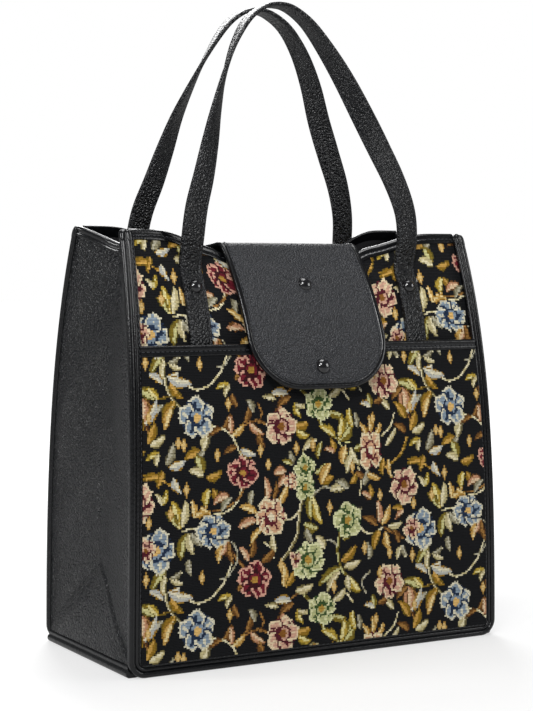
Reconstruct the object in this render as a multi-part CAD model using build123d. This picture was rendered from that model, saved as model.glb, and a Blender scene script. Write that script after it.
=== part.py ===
"""A carpet bag: woven walls, folded leather gussets, two strap handles and a snap flap.

X runs along the front, +Y towards the back and +Z up. The origin is on the floor
under the middle of the bag. Sizes are in millimetres.
"""
import math
import os
from build123d import *

# Overall form of the bag
BASE_WIDTH = 350.0
BASE_DEPTH = 170.0
FRONT_HEIGHT = 348.0
BACK_HEIGHT = 353.0
TOP_LEAN = 36.6          # how far each wall leans in at its top corners
LEAN_POWER = 3.56
TOP_NARROWING = 10.3     # how far each side closes in at the top
NARROWING_POWER = 1.77
CORNER_RADIUS = 12.0     # lower corners of the walls

# The pinched mouth: the middle of both walls is drawn in and sags
PINCH_HALF_WIDTH = 100.0
PINCH_DEPTH = 24.0
PINCH_START = 256.0
PINCH_SPAN = 80.0
PINCH_POWER = 1.5
FRONT_RIM_SAG = 15.0
BACK_RIM_SAG = 24.0
RIM_SAG_HALF_WIDTH = 103.0
RIM_SAG_POWER = 6
FLAP_PRESS = 5.0         # how far the flap presses both rims down
GUSSET_RIM_DROP = 13.0

# Sheet thicknesses and bindings
PANEL = 2.0
LINING = 0.8
POCKET = 1.8
POCKET_HEIGHT = 256.5
POCKET_GAPE = 6.5        # how far the pocket stands off the wall in the middle
POCKET_EDGE_GAP = 0.5
BINDING_PROUD = 1.0      # how far a folded binding stands off its sheet
BINDING_HEIGHT = 8.0
PIPING_WIDTH = 12.0
FRONT_PIPING_DEPTH = 10.0
BACK_PIPING_DEPTH = 6.0
PIPING_PROUD = 0.5
RIM_CAP_HEIGHT = 9.0
BASE = 2.5
BOARD = 2.0
BOARD_INSET = 4.0

# Folded gussets
GUSSET = 2.0
GUSSET_INSET = 2.0
LOW_FOLD = 10.0          # fold depth over most of the height
LOW_FOLD_RISE = 40.0
TOP_FOLD = 12.0          # extra fold depth at the mouth
TOP_FOLD_POWER = 4.0

# Strap handles
STRAP_WIDTH = 20.0
STRAP = 3.6
STRAP_SPREAD = 103.0     # centre of each leg, out from the middle
SEAM_DROP = 29.0         # cross seam where a strap leaves the wall, below the front rim
FRONT_TAB_FOOT_DROP = 106.0  # tucked into the pocket
BACK_TAB_FOOT_DROP = 91.0
HINGE_CLEARANCE = 0.3
# Along one leg: out from the middle, height over the front corners, twist in degrees
HANDLE_ARCH = [
    (103.0, -6.0, 0.0), (100.0, 18.0, 2.0), (91.5, 44.0, 10.0), (81.0, 72.0, 24.0),
    (70.0, 101.0, 44.0), (57.5, 131.0, 62.0), (44.0, 157.0, 76.0), (29.0, 178.0, 86.0),
    (13.0, 189.5, 90.0), (0.0, 192.0, 90.0),
]
# How far the strap's middle stands inside the foot of its wall at each of those points
FRONT_SETBACK = [33.0, 32.0, 35.5, 44.0, 53.5, 63.0, 71.0, 76.0, 78.0, 78.3]
BACK_SETBACK = [32.5, 37.5, 43.0, 44.0, 45.5, 52.0, 56.0, 56.5, 55.0, 54.5]

# Rivets
RIVET_DROP = 46.5        # below the front rim's corners
RIVET_HEAD = 10.0
RIVET_DOME = 2.6
RIVET_SHANK = 3.0
RIVET_PLATE = 9.0
RIVET_PLATE_DEPTH = 0.8
HOLE_CLEARANCE = 0.4

# Flap: the side view of its middle layer is an arc up the front, a bend and a run back.
# Each point is given by its distances from the foot of the front and from its corners
FLAP_HALF_WIDTH = 65.5
FLAP = 2.6
FLAP_TIP = (-2.0, -128.6)
FLAP_BELLY = (16.4, -73.0)
FLAP_SHOULDER = (54.5, -14.0)
FLAP_BEND_RADIUS = 10.0
FLAP_FALL = 6.0          # degrees that the run back falls towards the hinge
FLAP_CORNER = 45.0
FLAP_EDGE = 4.5
FLAP_EDGE_PROUD = 0.6
FLAP_HINGE_SETBACK = 47.6  # inside the foot of the back
FLAP_SEWN_FOOT_DROP = 65.0
FLAP_SEWN = 3.0
FLAP_PRESS_MARGIN = 4.5  # the pressed stretch of rim, past the flap's edge
FLAP_PRESS_POWER = 12

# Snap fasteners, by the drop of each cap below the front rim's corners
SNAP_DROPS = {"upper": 44.0, "lower": 110.5}
SNAP_CAP = 12.5
SNAP_DOME = 3.0
SNAP_SHANK = 4.0
SOCKET = 11.0
SOCKET_MOUTH = 8.6
SOCKET_DEPTH = 2.8
SOCKET_BACK = 0.5
SNAP_BITE = 1.0          # how far a stud stands into its socket
STUD_FLANGE = 11.0
STUD_FLANGE_DEPTH = 0.6
STUD_KNOB = 4.6

REACH = 400.0            # longer than any cut needs


# ---------------------------------------------------------------- wall formulas

def lean(z):
    """How far a wall leans in at height z."""
    return TOP_LEAN * (max(z, 0.0) / FRONT_HEIGHT) ** LEAN_POWER


def half_width(z):
    """Half the bag's width at height z."""
    return BASE_WIDTH / 2 - TOP_NARROWING * (max(z, 0.0) / FRONT_HEIGHT) ** NARROWING_POWER


def waist(x):
    """1 in the middle of a wall and 0 near its sides."""
    return math.exp(-((x / PINCH_HALF_WIDTH) ** 4))


def pinch(x, z):
    """How far the pinched mouth draws a wall in."""
    rise = max(0.0, (z - PINCH_START) / PINCH_SPAN)
    return PINCH_DEPTH * rise ** PINCH_POWER * waist(x)


def pocket_y(x, z):
    """Outer face of the front pocket."""
    return -BASE_DEPTH / 2 + lean(z)


def front_y(x, z):
    """Outer face of the front wall, behind the pocket."""
    gape = (POCKET_GAPE - POCKET_EDGE_GAP) * max(0.0, 1 - (2 * x / BASE_WIDTH) ** 4)
    return pocket_y(x, z) + POCKET + POCKET_EDGE_GAP + gape + pinch(x, z)


def back_y(x, z):
    """Outer face of the back wall."""
    return BASE_DEPTH / 2 - lean(z) - PIPING_PROUD - pinch(x, z)


def rim_z(x, corner_height, sag):
    """Height of a wall's rim, which sags and is pressed down under the flap."""
    pressed = FLAP_HALF_WIDTH + FLAP_PRESS_MARGIN
    drop = sag * math.exp(-((x / RIM_SAG_HALF_WIDTH) ** RIM_SAG_POWER))
    return corner_height - drop - FLAP_PRESS * math.exp(-((x / pressed) ** FLAP_PRESS_POWER))


def gusset_x(y, z):
    """Outer face of the right gusset, folded in along its middle."""
    depth = LOW_FOLD * (1 - math.exp(-((z / LOW_FOLD_RISE) ** 2)))
    depth += TOP_FOLD * (max(z, 0.0) / FRONT_HEIGHT) ** TOP_FOLD_POWER
    half = BASE_DEPTH / 2 - lean(z)
    across = min(1.0, abs(y) / half)
    return half_width(z) - GUSSET_INSET - depth * (1 + math.cos(math.pi * across)) / 2


def gusset_rim_z(y):
    """Height of a gusset's rim, which dips at the fold."""
    half = BASE_DEPTH / 2 - TOP_LEAN
    along = max(-1.0, min(1.0, y / half))
    corner = (FRONT_HEIGHT + BACK_HEIGHT) / 2 + along * (BACK_HEIGHT - FRONT_HEIGHT) / 2
    return corner - GUSSET_RIM_DROP * (1 + math.cos(math.pi * along)) / 2


# ---------------------------------------------------------------- sheets and outlines

def spread(low, high, count):
    """Evenly spaced values from low to high."""
    return [low + (high - low) * i / (count - 1) for i in range(count)]


def wall_face(depth_at):
    """The curved face y = depth_at(x, z), larger than the wall."""
    wide = BASE_WIDTH / 2 + 20
    rows = [[(x, depth_at(x, z), z) for z in spread(-20, BACK_HEIGHT + 20, 24)]
            for x in spread(-wide, wide, 29)]
    return Face.make_surface_from_array_of_points([[Vector(*p) for p in row] for row in rows])


def gusset_face():
    """The curved face x = gusset_x(y, z), larger than the gusset."""
    deep = BASE_DEPTH / 2 + 10
    rows = [[(gusset_x(y, z), y, z) for z in spread(-20, BACK_HEIGHT + 20, 24)]
            for y in spread(-deep, deep, 25)]
    return Face.make_surface_from_array_of_points([[Vector(*p) for p in row] for row in rows])


POCKET_FACE = wall_face(pocket_y)
FRONT_FACE = wall_face(front_y)
BACK_FACE = wall_face(back_y)
GUSSET_FACE = gusset_face()


def layer(face, near, far, inward):
    """A sheet between two depths, both measured inward from a curved face."""
    start = Pos(*(inward * near)) * face
    return Solid.extrude(start, inward * (far - near))


def front_layer(near, far):
    return layer(FRONT_FACE, near, far, Vector(0, 1, 0))


def pocket_layer(near, far):
    return layer(POCKET_FACE, near, far, Vector(0, 1, 0))


def back_layer(near, far):
    return layer(BACK_FACE, near, far, Vector(0, -1, 0))


def gusset_layer(near, far):
    return layer(GUSSET_FACE, near, far, Vector(-1, 0, 0))


def upright_bar(edges):
    """A closed outline in x and z, stretched into a bar along Y."""
    return extrude(Plane.XZ * Face(Wire.combine(edges)[0]), amount=REACH / 2, both=True)


def side_bar(inset, foot=-REACH / 8):
    """All that lies between the bag's two sides, above a level foot."""
    top = FRONT_HEIGHT + REACH / 8
    side = [Vector(half_width(z) - inset, z) for z in spread(foot, top, 13)]
    other = [Vector(-p.X, p.Y) for p in reversed(side)]
    return upright_bar([
        Edge.make_line(other[-1], side[0]),
        Edge.make_spline(side),
        Edge.make_line(side[-1], other[0]),
        Edge.make_spline(other),
    ])


def above_rim(rim, drop):
    """Everything higher than a line that runs a little below the rim."""
    wide = BASE_WIDTH / 2 + PIPING_WIDTH
    line = [Vector(x, rim(x) - drop) for x in spread(-wide, wide, 45)]
    top = FRONT_HEIGHT + REACH / 4
    return upright_bar([
        Edge.make_spline(line),
        Edge.make_line(line[-1], (wide, top)),
        Edge.make_line((wide, top), (-wide, top)),
        Edge.make_line((-wide, top), line[0]),
    ])


def band(low, high, half_span):
    """A level block used to keep part of a sheet."""
    return Pos(0, 0, (low + high) / 2) * Box(2 * half_span, REACH, high - low)


def half_space(sign):
    """Everything in front of (-1) or behind (+1) the bag's middle plane."""
    return Pos(0, sign * REACH / 2, FRONT_HEIGHT / 2) * Box(2 * REACH, REACH, 3 * REACH)


def normal_plane(depth_at, x, z, outward):
    """A plane on a wall at (x, z), with its z axis pointing out of the bag."""
    step = 0.5
    slope_x = (depth_at(x + step, z) - depth_at(x - step, z)) / (2 * step)
    slope_z = (depth_at(x, z + step) - depth_at(x, z - step)) / (2 * step)
    direction = Vector(-slope_x, 1, -slope_z) * outward
    return Plane(origin=(x, depth_at(x, z), z), x_dir=(1, slope_x, 0), z_dir=direction)


def mirrored(shape):
    """The same piece on the other side of the bag."""
    return mirror(shape, about=Plane.YZ)


def rod(diameter, low, high):
    """A round bar on the z axis."""
    return Pos(0, 0, (low + high) / 2) * Cylinder(diameter / 2, high - low)


def dome(diameter, height):
    """A low round head that stands on z = 0."""
    head = rod(diameter, 0, height)
    return fillet(head.edges().sort_by(Axis.Z)[-1], height * 0.8)


NODES = {}


# ---------------------------------------------------------------- edge pipings and base

def front_rim(x):
    return rim_z(x, FRONT_HEIGHT, FRONT_RIM_SAG)


def back_rim(x):
    return rim_z(x, BACK_HEIGHT, BACK_RIM_SAG)


def piping_frame(rim, sheet):
    """The piping round one wall: both sides and the foot, with its corner caps."""
    outer = side_bar(0, 0)
    low = outer.edges().filter_by(Axis.Y).group_by(Axis.Z)[0]
    inner = side_bar(PIPING_WIDTH) & band(PIPING_WIDTH, REACH, BASE_WIDTH)
    return ((sheet & fillet(low, CORNER_RADIUS)) - inner) - above_rim(rim, 0)


FRONT_PIPING = pocket_layer(-PIPING_PROUD, FRONT_PIPING_DEPTH - PIPING_PROUD)
BACK_PIPING = back_layer(-PIPING_PROUD, BACK_PIPING_DEPTH - PIPING_PROUD)


def make_pipings():
    """Edge pipings with a folded cap over each upper end."""
    for name, rim, sheet, height in (
        ("front", front_rim, FRONT_PIPING, FRONT_HEIGHT),
        ("back", back_rim, BACK_PIPING, BACK_HEIGHT),
    ):
        frame = piping_frame(rim, sheet)
        split = height - RIM_CAP_HEIGHT
        NODES[name + "_edge_piping"] = frame & band(-1, split, BASE_WIDTH)
        top = frame & band(split, height + 10, BASE_WIDTH)
        for side, sign in (("left", -1), ("right", 1)):
            half = Pos(sign * REACH / 2, 0, FRONT_HEIGHT) * Box(REACH, REACH, REACH)
            NODES[f"{name}_{side}_rim_cap"] = top & half


FRONT_KEEP_OUT = pocket_layer(-REACH / 4, FRONT_PIPING_DEPTH - PIPING_PROUD)
BACK_KEEP_OUT = back_layer(-REACH / 4, BACK_PIPING_DEPTH - PIPING_PROUD)


def between_walls(shape):
    """What is left of a shape between the two edge pipings."""
    return shape - FRONT_KEEP_OUT - BACK_KEEP_OUT


def make_base():
    """Side pipings, the leather base, its stiff board and the lining over it."""
    side = Pos(BASE_WIDTH / 2 - PIPING_WIDTH / 2, 0, PIPING_WIDTH / 2)
    right = between_walls(side * Box(PIPING_WIDTH, BASE_DEPTH, PIPING_WIDTH))
    NODES["right_base_piping"] = right
    NODES["left_base_piping"] = mirrored(right)
    width = BASE_WIDTH - 2 * PIPING_WIDTH
    sole = Pos(0, 0, BASE / 2) * Box(width, BASE_DEPTH, BASE)
    NODES["base_panel"] = between_walls(sole)
    front = -BASE_DEPTH / 2 + FRONT_PIPING_DEPTH + BOARD_INSET
    back = BASE_DEPTH / 2 - BACK_PIPING_DEPTH - BOARD_INSET
    plan = (width - 2 * BOARD_INSET, back - front)
    middle = (front + back) / 2
    NODES["base_board"] = Pos(0, middle, BASE + BOARD / 2) * Box(*plan, BOARD)
    floor = Pos(0, middle, BASE + BOARD + LINING / 2)
    NODES["lining_floor"] = floor * Box(*plan, LINING)


# ---------------------------------------------------------------- walls

def inner_outline(rim, drop, keep):
    """The wall inside its piping, ending a little below the rim."""
    inside = side_bar(PIPING_WIDTH) & band(PIPING_WIDTH, REACH, BASE_WIDTH) & keep
    return inside - above_rim(rim, drop)


def fold_over(layer_of, depth, rim, keep):
    """A binding folded over the top edge of sheets of the given total depth."""
    outer = layer_of(-BINDING_PROUD, depth + BINDING_PROUD) & inner_outline(rim, 0, keep)
    strip = outer & above_rim(rim, BINDING_HEIGHT)
    return strip - (layer_of(0, depth) - above_rim(rim, BINDING_PROUD))


def pocket_rim(x):
    return POCKET_HEIGHT


def make_walls():
    """Both woven walls with their linings and folded rim bindings, and the pocket."""
    for name, layer_of, rim, sign in (
        ("front", front_layer, front_rim, -1),
        ("back", back_layer, back_rim, 1),
    ):
        keep = half_space(sign)
        outline = inner_outline(rim, BINDING_PROUD, keep)
        NODES[name + "_panel"] = layer_of(0, PANEL) & outline
        NODES["lining_" + name] = layer_of(PANEL, PANEL + LINING) & outline
        NODES[name + "_rim_binding"] = fold_over(layer_of, PANEL + LINING, rim, keep)
    keep = half_space(-1)
    outline = inner_outline(pocket_rim, BINDING_PROUD, keep)
    NODES["pocket_panel"] = pocket_layer(0, POCKET) & outline
    NODES["pocket_binding"] = fold_over(pocket_layer, POCKET, pocket_rim, keep)


# ---------------------------------------------------------------- gussets

def gusset_outline(foot, drop):
    """A gusset's outline seen from the side, as a bar along X."""
    half = BASE_DEPTH / 2 + 5
    rim = [Vector(y, gusset_rim_z(y) - drop) for y in spread(half, -half, 25)]
    edges = [
        Edge.make_line((-half, foot), (half, foot)),
        Edge.make_line((half, foot), rim[0]),
        Edge.make_spline(rim),
        Edge.make_line(rim[-1], (-half, foot)),
    ]
    upright = Plane.YZ * Face(Wire.combine(edges)[0])
    return extrude(upright, amount=REACH)


def make_gussets():
    """Folded leather gussets with their linings and rim bindings."""
    depth = GUSSET + LINING
    outline = gusset_outline(PIPING_WIDTH, BINDING_PROUD)
    outer = gusset_layer(-BINDING_PROUD, depth + BINDING_PROUD)
    strip = (outer & gusset_outline(PIPING_WIDTH, 0)) - gusset_outline(0, BINDING_HEIGHT)
    binding = strip - (gusset_layer(0, depth) & outline)
    right = {
        "gusset": between_walls(gusset_layer(0, GUSSET) & outline),
        "gusset_lining": between_walls(gusset_layer(GUSSET, depth) & outline),
        "gusset_rim_binding": between_walls(binding),
    }
    for name, shape in right.items():
        NODES["right_" + name] = shape
        NODES["left_" + name] = mirrored(shape)


# ---------------------------------------------------------------- handles

SEAM_HEIGHT = FRONT_HEIGHT - SEAM_DROP
RIVET_HEIGHT = FRONT_HEIGHT - RIVET_DROP


def strap_hinge(depth_at, outward):
    """The line a strap folds about: along the outer faces where they meet at the seam."""
    edge = STRAP_SPREAD + STRAP_WIDTH / 2
    outer = depth_at(edge, SEAM_HEIGHT) + outward * (STRAP + HINGE_CLEARANCE)
    return Vector(0, outer, SEAM_HEIGHT + HINGE_CLEARANCE / 2)


FRONT_HINGE = strap_hinge(front_y, -1)
BACK_HINGE = strap_hinge(back_y, 1)


def strap_section(before, here, after, twist, outward):
    """The strap's section at one point of its path."""
    along = (after - before).normalized()
    flat = Vector(0, outward, 0)
    flat = (flat - along * flat.dot(along)).normalized()
    across = along.cross(flat)
    turned = across * math.cos(twist) - flat * math.sin(twist)
    plane = Plane(origin=here, x_dir=turned, z_dir=along)
    return plane * Rectangle(STRAP_WIDTH, STRAP)


def handle(hinge, setbacks, outward):
    """A free strap loop, from one cross seam over the top to the other."""
    foot_y = hinge.Y - outward * STRAP / 2
    leg = [Vector(-STRAP_SPREAD, foot_y, SEAM_HEIGHT + HINGE_CLEARANCE)]
    for (x, rise, turn), setback in zip(HANDLE_ARCH, setbacks):
        leg.append(Vector(-x, outward * (BASE_DEPTH / 2 - setback), FRONT_HEIGHT + rise))
    turns = [0.0] + [math.radians(turn) for x, rise, turn in HANDLE_ARCH]
    path = leg + [Vector(-p.X, p.Y, p.Z) for p in reversed(leg[:-1])]
    twists = turns + list(reversed(turns[:-1]))
    below = Vector(0, 0, -10)
    around = [path[0] + below] + path + [path[-1] + below]
    sections = [
        strap_section(around[i], around[i + 1], around[i + 2], twists[i], outward)
        for i in range(len(path))
    ]
    return loft(sections)


def strap_tab(layer_of, keep, foot):
    """The sewn end of the right strap, from its foot up to the cross seam."""
    height = SEAM_HEIGHT - foot
    bar = Pos(STRAP_SPREAD, 0, foot + height / 2) * Box(STRAP_WIDTH, REACH, height)
    return layer_of(-STRAP, 0) & bar & keep


def rivet(stack):
    """A domed rivet through a stack of sheets, with a plate inside the bag."""
    shank = rod(RIVET_SHANK, -stack - RIVET_PLATE_DEPTH, RIVET_DOME / 2)
    plate = rod(RIVET_PLATE, -stack - RIVET_PLATE_DEPTH - 0.4, -stack + 0.4)
    foot = rod(RIVET_HEAD, -0.4, 0.1)
    return dome(RIVET_HEAD, RIVET_DOME) + foot + shank + plate


def drill(plane, diameter, names):
    """Cut a clear hole through the named sheets."""
    hole = plane.location * rod(diameter + HOLE_CLEARANCE, -20, 20)
    for name in names:
        NODES[name] = NODES[name] - hole


def seated(piece, names):
    """A piece cut back to lie flat on the named sheets."""
    for name in names:
        piece = piece - NODES[name]
    return piece


def make_handles():
    """Both handles, their four sewn ends and the rivet through each end."""
    NODES["front_handle_strap"] = handle(FRONT_HINGE, FRONT_SETBACK, -1)
    NODES["back_handle_strap"] = handle(BACK_HINGE, BACK_SETBACK, 1)
    for name, layer_of, depth_at, foot, sign in (
        ("front", front_layer, front_y, FRONT_HEIGHT - FRONT_TAB_FOOT_DROP, -1),
        ("back", back_layer, back_y, BACK_HEIGHT - BACK_TAB_FOOT_DROP, 1),
    ):
        tab = strap_tab(layer_of, half_space(sign), foot)
        NODES[name + "_right_strap_tab"] = tab
        NODES[name + "_left_strap_tab"] = mirrored(tab)
        for side, x in (("left", -STRAP_SPREAD), ("right", STRAP_SPREAD)):
            face = normal_plane(depth_at, x, RIVET_HEIGHT, sign)
            sheets = [f"{name}_{side}_strap_tab", f"{name}_panel", "lining_" + name]
            drill(face, RIVET_SHANK, sheets)
            slant = abs(face.z_dir.Y)
            outer = face.offset(STRAP * slant)
            piece = outer.location * rivet((STRAP + PANEL + LINING) * slant)
            NODES[f"{name}_{side}_rivet"] = seated(piece, sheets)


# ---------------------------------------------------------------- flap

def flap_path():
    """The flap's middle layer seen from the side, from its tip back to its hinge."""
    points = [(y - BASE_DEPTH / 2, FRONT_HEIGHT + z) for y, z in (FLAP_TIP, FLAP_BELLY, FLAP_SHOULDER)]
    front = Edge.make_three_point_arc(*points)
    rise = front % 1
    turn = math.degrees(math.atan2(rise.Y, rise.X)) + FLAP_FALL
    bend = JernArc(front @ 1, rise, FLAP_BEND_RADIUS, -turn)
    run = bend % 1
    reach = (FLAP_BACK - (bend @ 1).X) / run.X
    end = (bend @ 1) + run * reach
    return front, bend, Edge.make_line(bend @ 1, end)


FLAP_BACK = BASE_DEPTH / 2 - FLAP_HINGE_SETBACK
FLAP_FRONT, FLAP_BEND, FLAP_RUN = flap_path()
FLAP_HINGE = (0, (FLAP_RUN @ 1).X, (FLAP_RUN @ 1).Y)


def flap_sheet(thickness):
    """The flap's bent sheet at full width and the given thickness."""
    pieces = [trace(edge, line_width=thickness) for edge in (FLAP_FRONT, FLAP_BEND, FLAP_RUN)]
    side_view = pieces[0] + pieces[1] + pieces[2]
    return extrude(Plane.YZ * side_view, amount=FLAP_HALF_WIDTH + 10, both=True)


def flap_outline(inset):
    """The flap seen from the front, with its rounded lower corners, as a bar along Y."""
    foot = FRONT_HEIGHT + FLAP_TIP[1] + inset
    height = FRONT_HEIGHT + 20 - foot
    plate = Pos(0, foot + height / 2) * Rectangle(2 * (FLAP_HALF_WIDTH - inset), height)
    low = plate.vertices().sort_by(Axis.Y)[:2]
    return extrude(Plane.XZ * fillet(low, FLAP_CORNER - inset), amount=REACH / 2, both=True)


def flap_plane(z):
    """A plane on the flap's middle layer at height z, facing out of the bag."""
    low, high = 0.0, 1.0
    for step in range(40):
        half = (low + high) / 2
        if (FLAP_FRONT @ half).Y < z:
            low = half
        else:
            high = half
    point = FLAP_FRONT @ low
    along = FLAP_FRONT % low
    return Plane(origin=(0, point.X, point.Y), x_dir=(1, 0, 0), z_dir=(0, -along.Y, along.X))


def snap_cap():
    """A snap's domed cap with the shank that passes through the flap."""
    foot = rod(SNAP_CAP, -0.4, 0.1)
    return dome(SNAP_CAP, SNAP_DOME) + foot + rod(SNAP_SHANK, -FLAP, SNAP_DOME / 2)


def snap_socket():
    """A snap's socket, open towards the bag; its back lies on the flap at z = 0."""
    return rod(SOCKET, -SOCKET_DEPTH, 0.3) - rod(SOCKET_MOUTH, -SOCKET_DEPTH, -SOCKET_BACK)


def snap_stud(stack, height):
    """A snap's stud and flange outside a stack of sheets, with a plate behind."""
    flange = rod(STUD_FLANGE, -0.3, STUD_FLANGE_DEPTH)
    knob = rod(STUD_KNOB, 0, height)
    shank = rod(RIVET_SHANK, -stack - RIVET_PLATE_DEPTH, 0.1)
    plate = rod(RIVET_PLATE, -stack - RIVET_PLATE_DEPTH - 0.2, -stack + 0.2)
    return flange + knob + shank + plate


def reach_to_wall(plane, depth_at):
    """How far a wall lies behind a plane's origin, along the plane's normal."""
    near, far = 0.0, 20.0
    for step in range(40):
        middle = (near + far) / 2
        point = plane.origin - plane.z_dir * middle
        if point.Y < depth_at(0, point.Z):
            near = middle
        else:
            far = middle
    return near


def make_snap(name, height, depth_at, stack, sheets):
    """One snap: a cap and socket on the flap, and a stud on the wall behind."""
    plane = flap_plane(height)
    drill(plane, SNAP_SHANK, ["flap_panel"])
    under = plane.offset(-FLAP / 2)
    cap = plane.offset(FLAP / 2).location * snap_cap()
    NODES[name + "_snap_cap"] = seated(cap, ["flap_panel"])
    socket = under.location * snap_socket()
    NODES[name + "_snap_socket"] = seated(socket, ["flap_panel", name + "_snap_cap"])
    gap = reach_to_wall(under, depth_at)
    foot = under.origin - under.z_dir * gap
    face = normal_plane(depth_at, 0, foot.Z, -1)
    drill(face, RIVET_SHANK, sheets)
    knob = gap - SOCKET_DEPTH + SNAP_BITE
    stud = face.location * snap_stud(stack * abs(face.z_dir.Y), knob)
    NODES[name + "_snap_stud"] = seated(stud, sheets)


def make_flap():
    """The flap, its bound edge, its sewn end on the back wall and its two snaps."""
    middle = flap_outline(FLAP_EDGE)
    sheet = flap_sheet(FLAP) & middle
    NODES["flap_panel"] = sheet + Pos(*FLAP_HINGE) * Cylinder(
        FLAP / 2, 2 * (FLAP_HALF_WIDTH - FLAP_EDGE), rotation=(0, 90, 0)
    )
    ring = flap_sheet(FLAP + 2 * FLAP_EDGE_PROUD) & (flap_outline(0) - middle)
    behind = Pos(0, FLAP_BACK - FLAP_EDGE, FRONT_HEIGHT)
    NODES["flap_edge_binding"] = ring - behind * Box(REACH, REACH, REACH, align=(
        Align.CENTER, Align.MIN, Align.CENTER
    ))
    foot = BACK_HEIGHT - FLAP_SEWN_FOOT_DROP
    height = FLAP_HINGE[2] - foot
    bar = Pos(0, 0, foot + height / 2)
    bar = bar * Box(2 * (FLAP_HALF_WIDTH - FLAP_EDGE), REACH, height)
    sewn = (back_layer(-FLAP_SEWN, 0) & bar & half_space(1)) - NODES["back_rim_binding"]
    turning = Cylinder(FLAP / 2 + HINGE_CLEARANCE, REACH, rotation=(0, 90, 0))
    sewn -= flap_sheet(FLAP + 2 * HINGE_CLEARANCE)
    NODES["flap_sewn_end"] = sewn - Pos(*FLAP_HINGE) * turning
    wall = ["front_panel", "lining_front"]
    make_snap("upper", FRONT_HEIGHT - SNAP_DROPS["upper"], front_y, PANEL + LINING, wall)
    make_snap("lower", FRONT_HEIGHT - SNAP_DROPS["lower"], pocket_y, POCKET, ["pocket_panel"])


make_pipings()
make_base()
make_walls()
make_gussets()
make_handles()
make_flap()

os.makedirs("parts", exist_ok=True)
for node, shape in NODES.items():
    export_step(shape, f"parts/{node}.step")
for name, hinge in (("front", FRONT_HINGE), ("back", BACK_HINGE), ("flap", Vector(*FLAP_HINGE))):
    print(name, "hinge at", [round(value, 3) for value in hinge])
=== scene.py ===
"""A carpet bag in its studio: woven flower cloth, black leather gussets, straps and flap.

Lengths in the sections are millimetres and become metres where a mesh is made. X runs along
the front, -Y faces out of the front, and the floor is at z = 0.
"""
import math
import bpy
import numpy as np
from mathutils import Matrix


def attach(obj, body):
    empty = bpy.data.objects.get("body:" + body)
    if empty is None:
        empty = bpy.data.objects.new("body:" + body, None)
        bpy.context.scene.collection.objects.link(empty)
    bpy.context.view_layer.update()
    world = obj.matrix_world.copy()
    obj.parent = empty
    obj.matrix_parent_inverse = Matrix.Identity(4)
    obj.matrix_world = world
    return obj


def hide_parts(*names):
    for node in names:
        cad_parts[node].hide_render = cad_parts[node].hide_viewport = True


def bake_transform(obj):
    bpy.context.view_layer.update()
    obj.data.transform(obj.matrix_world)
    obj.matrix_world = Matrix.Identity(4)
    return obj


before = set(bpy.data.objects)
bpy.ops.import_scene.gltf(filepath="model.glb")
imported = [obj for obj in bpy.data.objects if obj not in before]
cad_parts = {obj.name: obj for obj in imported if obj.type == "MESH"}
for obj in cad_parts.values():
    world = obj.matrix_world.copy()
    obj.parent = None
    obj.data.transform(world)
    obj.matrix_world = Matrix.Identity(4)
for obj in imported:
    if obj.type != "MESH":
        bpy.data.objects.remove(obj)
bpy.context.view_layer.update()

MM = 0.001

# ------------------------------------------------------------------ camera, lights and floor
# A long lens looks at the front left corner from just above half height. Soft boxes on every
# side give smooth black leather its broad highlights, and a small one makes the grain sparkle.
camera = bpy.data.objects.new("camera", bpy.data.cameras.new("camera"))
bpy.context.scene.collection.objects.link(camera)
camera.location = (-0.7266, -1.2692, 0.3086)
camera.rotation_euler = (math.radians(87.44), 0, math.radians(-29.59))
camera.data.lens = 86.53
bpy.context.scene.camera = camera
bpy.context.scene.view_settings.view_transform = "Standard"


def soft_box(name, place, aim, size, watts):
    """A square area light at a place, turned to face a point."""
    light = bpy.data.lights.new(name, "AREA")
    light.size = size
    light.energy = watts
    lamp = bpy.data.objects.new(name, light)
    bpy.context.scene.collection.objects.link(lamp)
    lamp.location = place
    away = lamp.location - type(lamp.location)(aim)
    lamp.rotation_euler = away.to_track_quat("Z", "Y").to_euler()


soft_box("key_box", (-1.1, -1.5, 1.9), (0, 0, 0.25), 0.7, 34)
soft_box("fill_box", (1.8, -1.3, 1.0), (0, 0, 0.25), 1.0, 16)
soft_box("side_box", (-1.9, 0.7, 1.0), (0, 0, 0.25), 0.5, 18)
soft_box("catch_box", (-1.5, -1.0, 1.0), (0, 0, 0.25), 0.18, 9)
soft_box("back_box", (0.7, 1.8, 1.5), (0, 0, 0.3), 1.0, 24)
soft_box("top_box", (0.2, 0.2, 2.3), (0, 0, 0), 1.2, 30)

world = bpy.data.worlds.new("pale_room")
bpy.context.scene.world = world
world.use_nodes = True
room = world.node_tree.nodes["Background"]
room.inputs["Color"].default_value = (1, 1, 1, 1)


def linear(hex_colour):
    """An sRGB hex colour as linear red, green, blue and alpha."""
    parts = [int(hex_colour[i:i + 2], 16) / 255 for i in (1, 3, 5)]
    return [c / 12.92 if c <= 0.04045 else ((c + 0.055) / 1.055) ** 2.4 for c in parts] + [1]


def add_node(tree, kind, links=(), into=(), **settings):
    """Adds one node; settings name its properties or inputs, links join (input, source) and
    into joins (output, target)."""
    node = tree.nodes.new(kind)
    for key, value in settings.items():
        if hasattr(node, key):
            setattr(node, key, value)
        else:
            node.inputs[key.replace("_", " ")].default_value = value
    for socket, source in links:
        tree.links.new(source, node.inputs[socket])
    for socket, target in into:
        tree.links.new(node.outputs[socket], target)
    return node


def new_material(name, roughness, hex_colour="#808080", shine=0.5):
    """A material, its node tree, its shader and the place on the object that patterns read."""
    material = bpy.data.materials.new(name)
    material.use_nodes = True
    shader = material.node_tree.nodes["Principled BSDF"]
    shader.inputs["Base Color"].default_value = linear(hex_colour)
    shader.inputs["Roughness"].default_value = roughness
    shader.inputs["Specular IOR Level"].default_value = shine
    here = add_node(material.node_tree, "ShaderNodeTexCoord").outputs["Object"]
    return material, material.node_tree, shader, here


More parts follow.
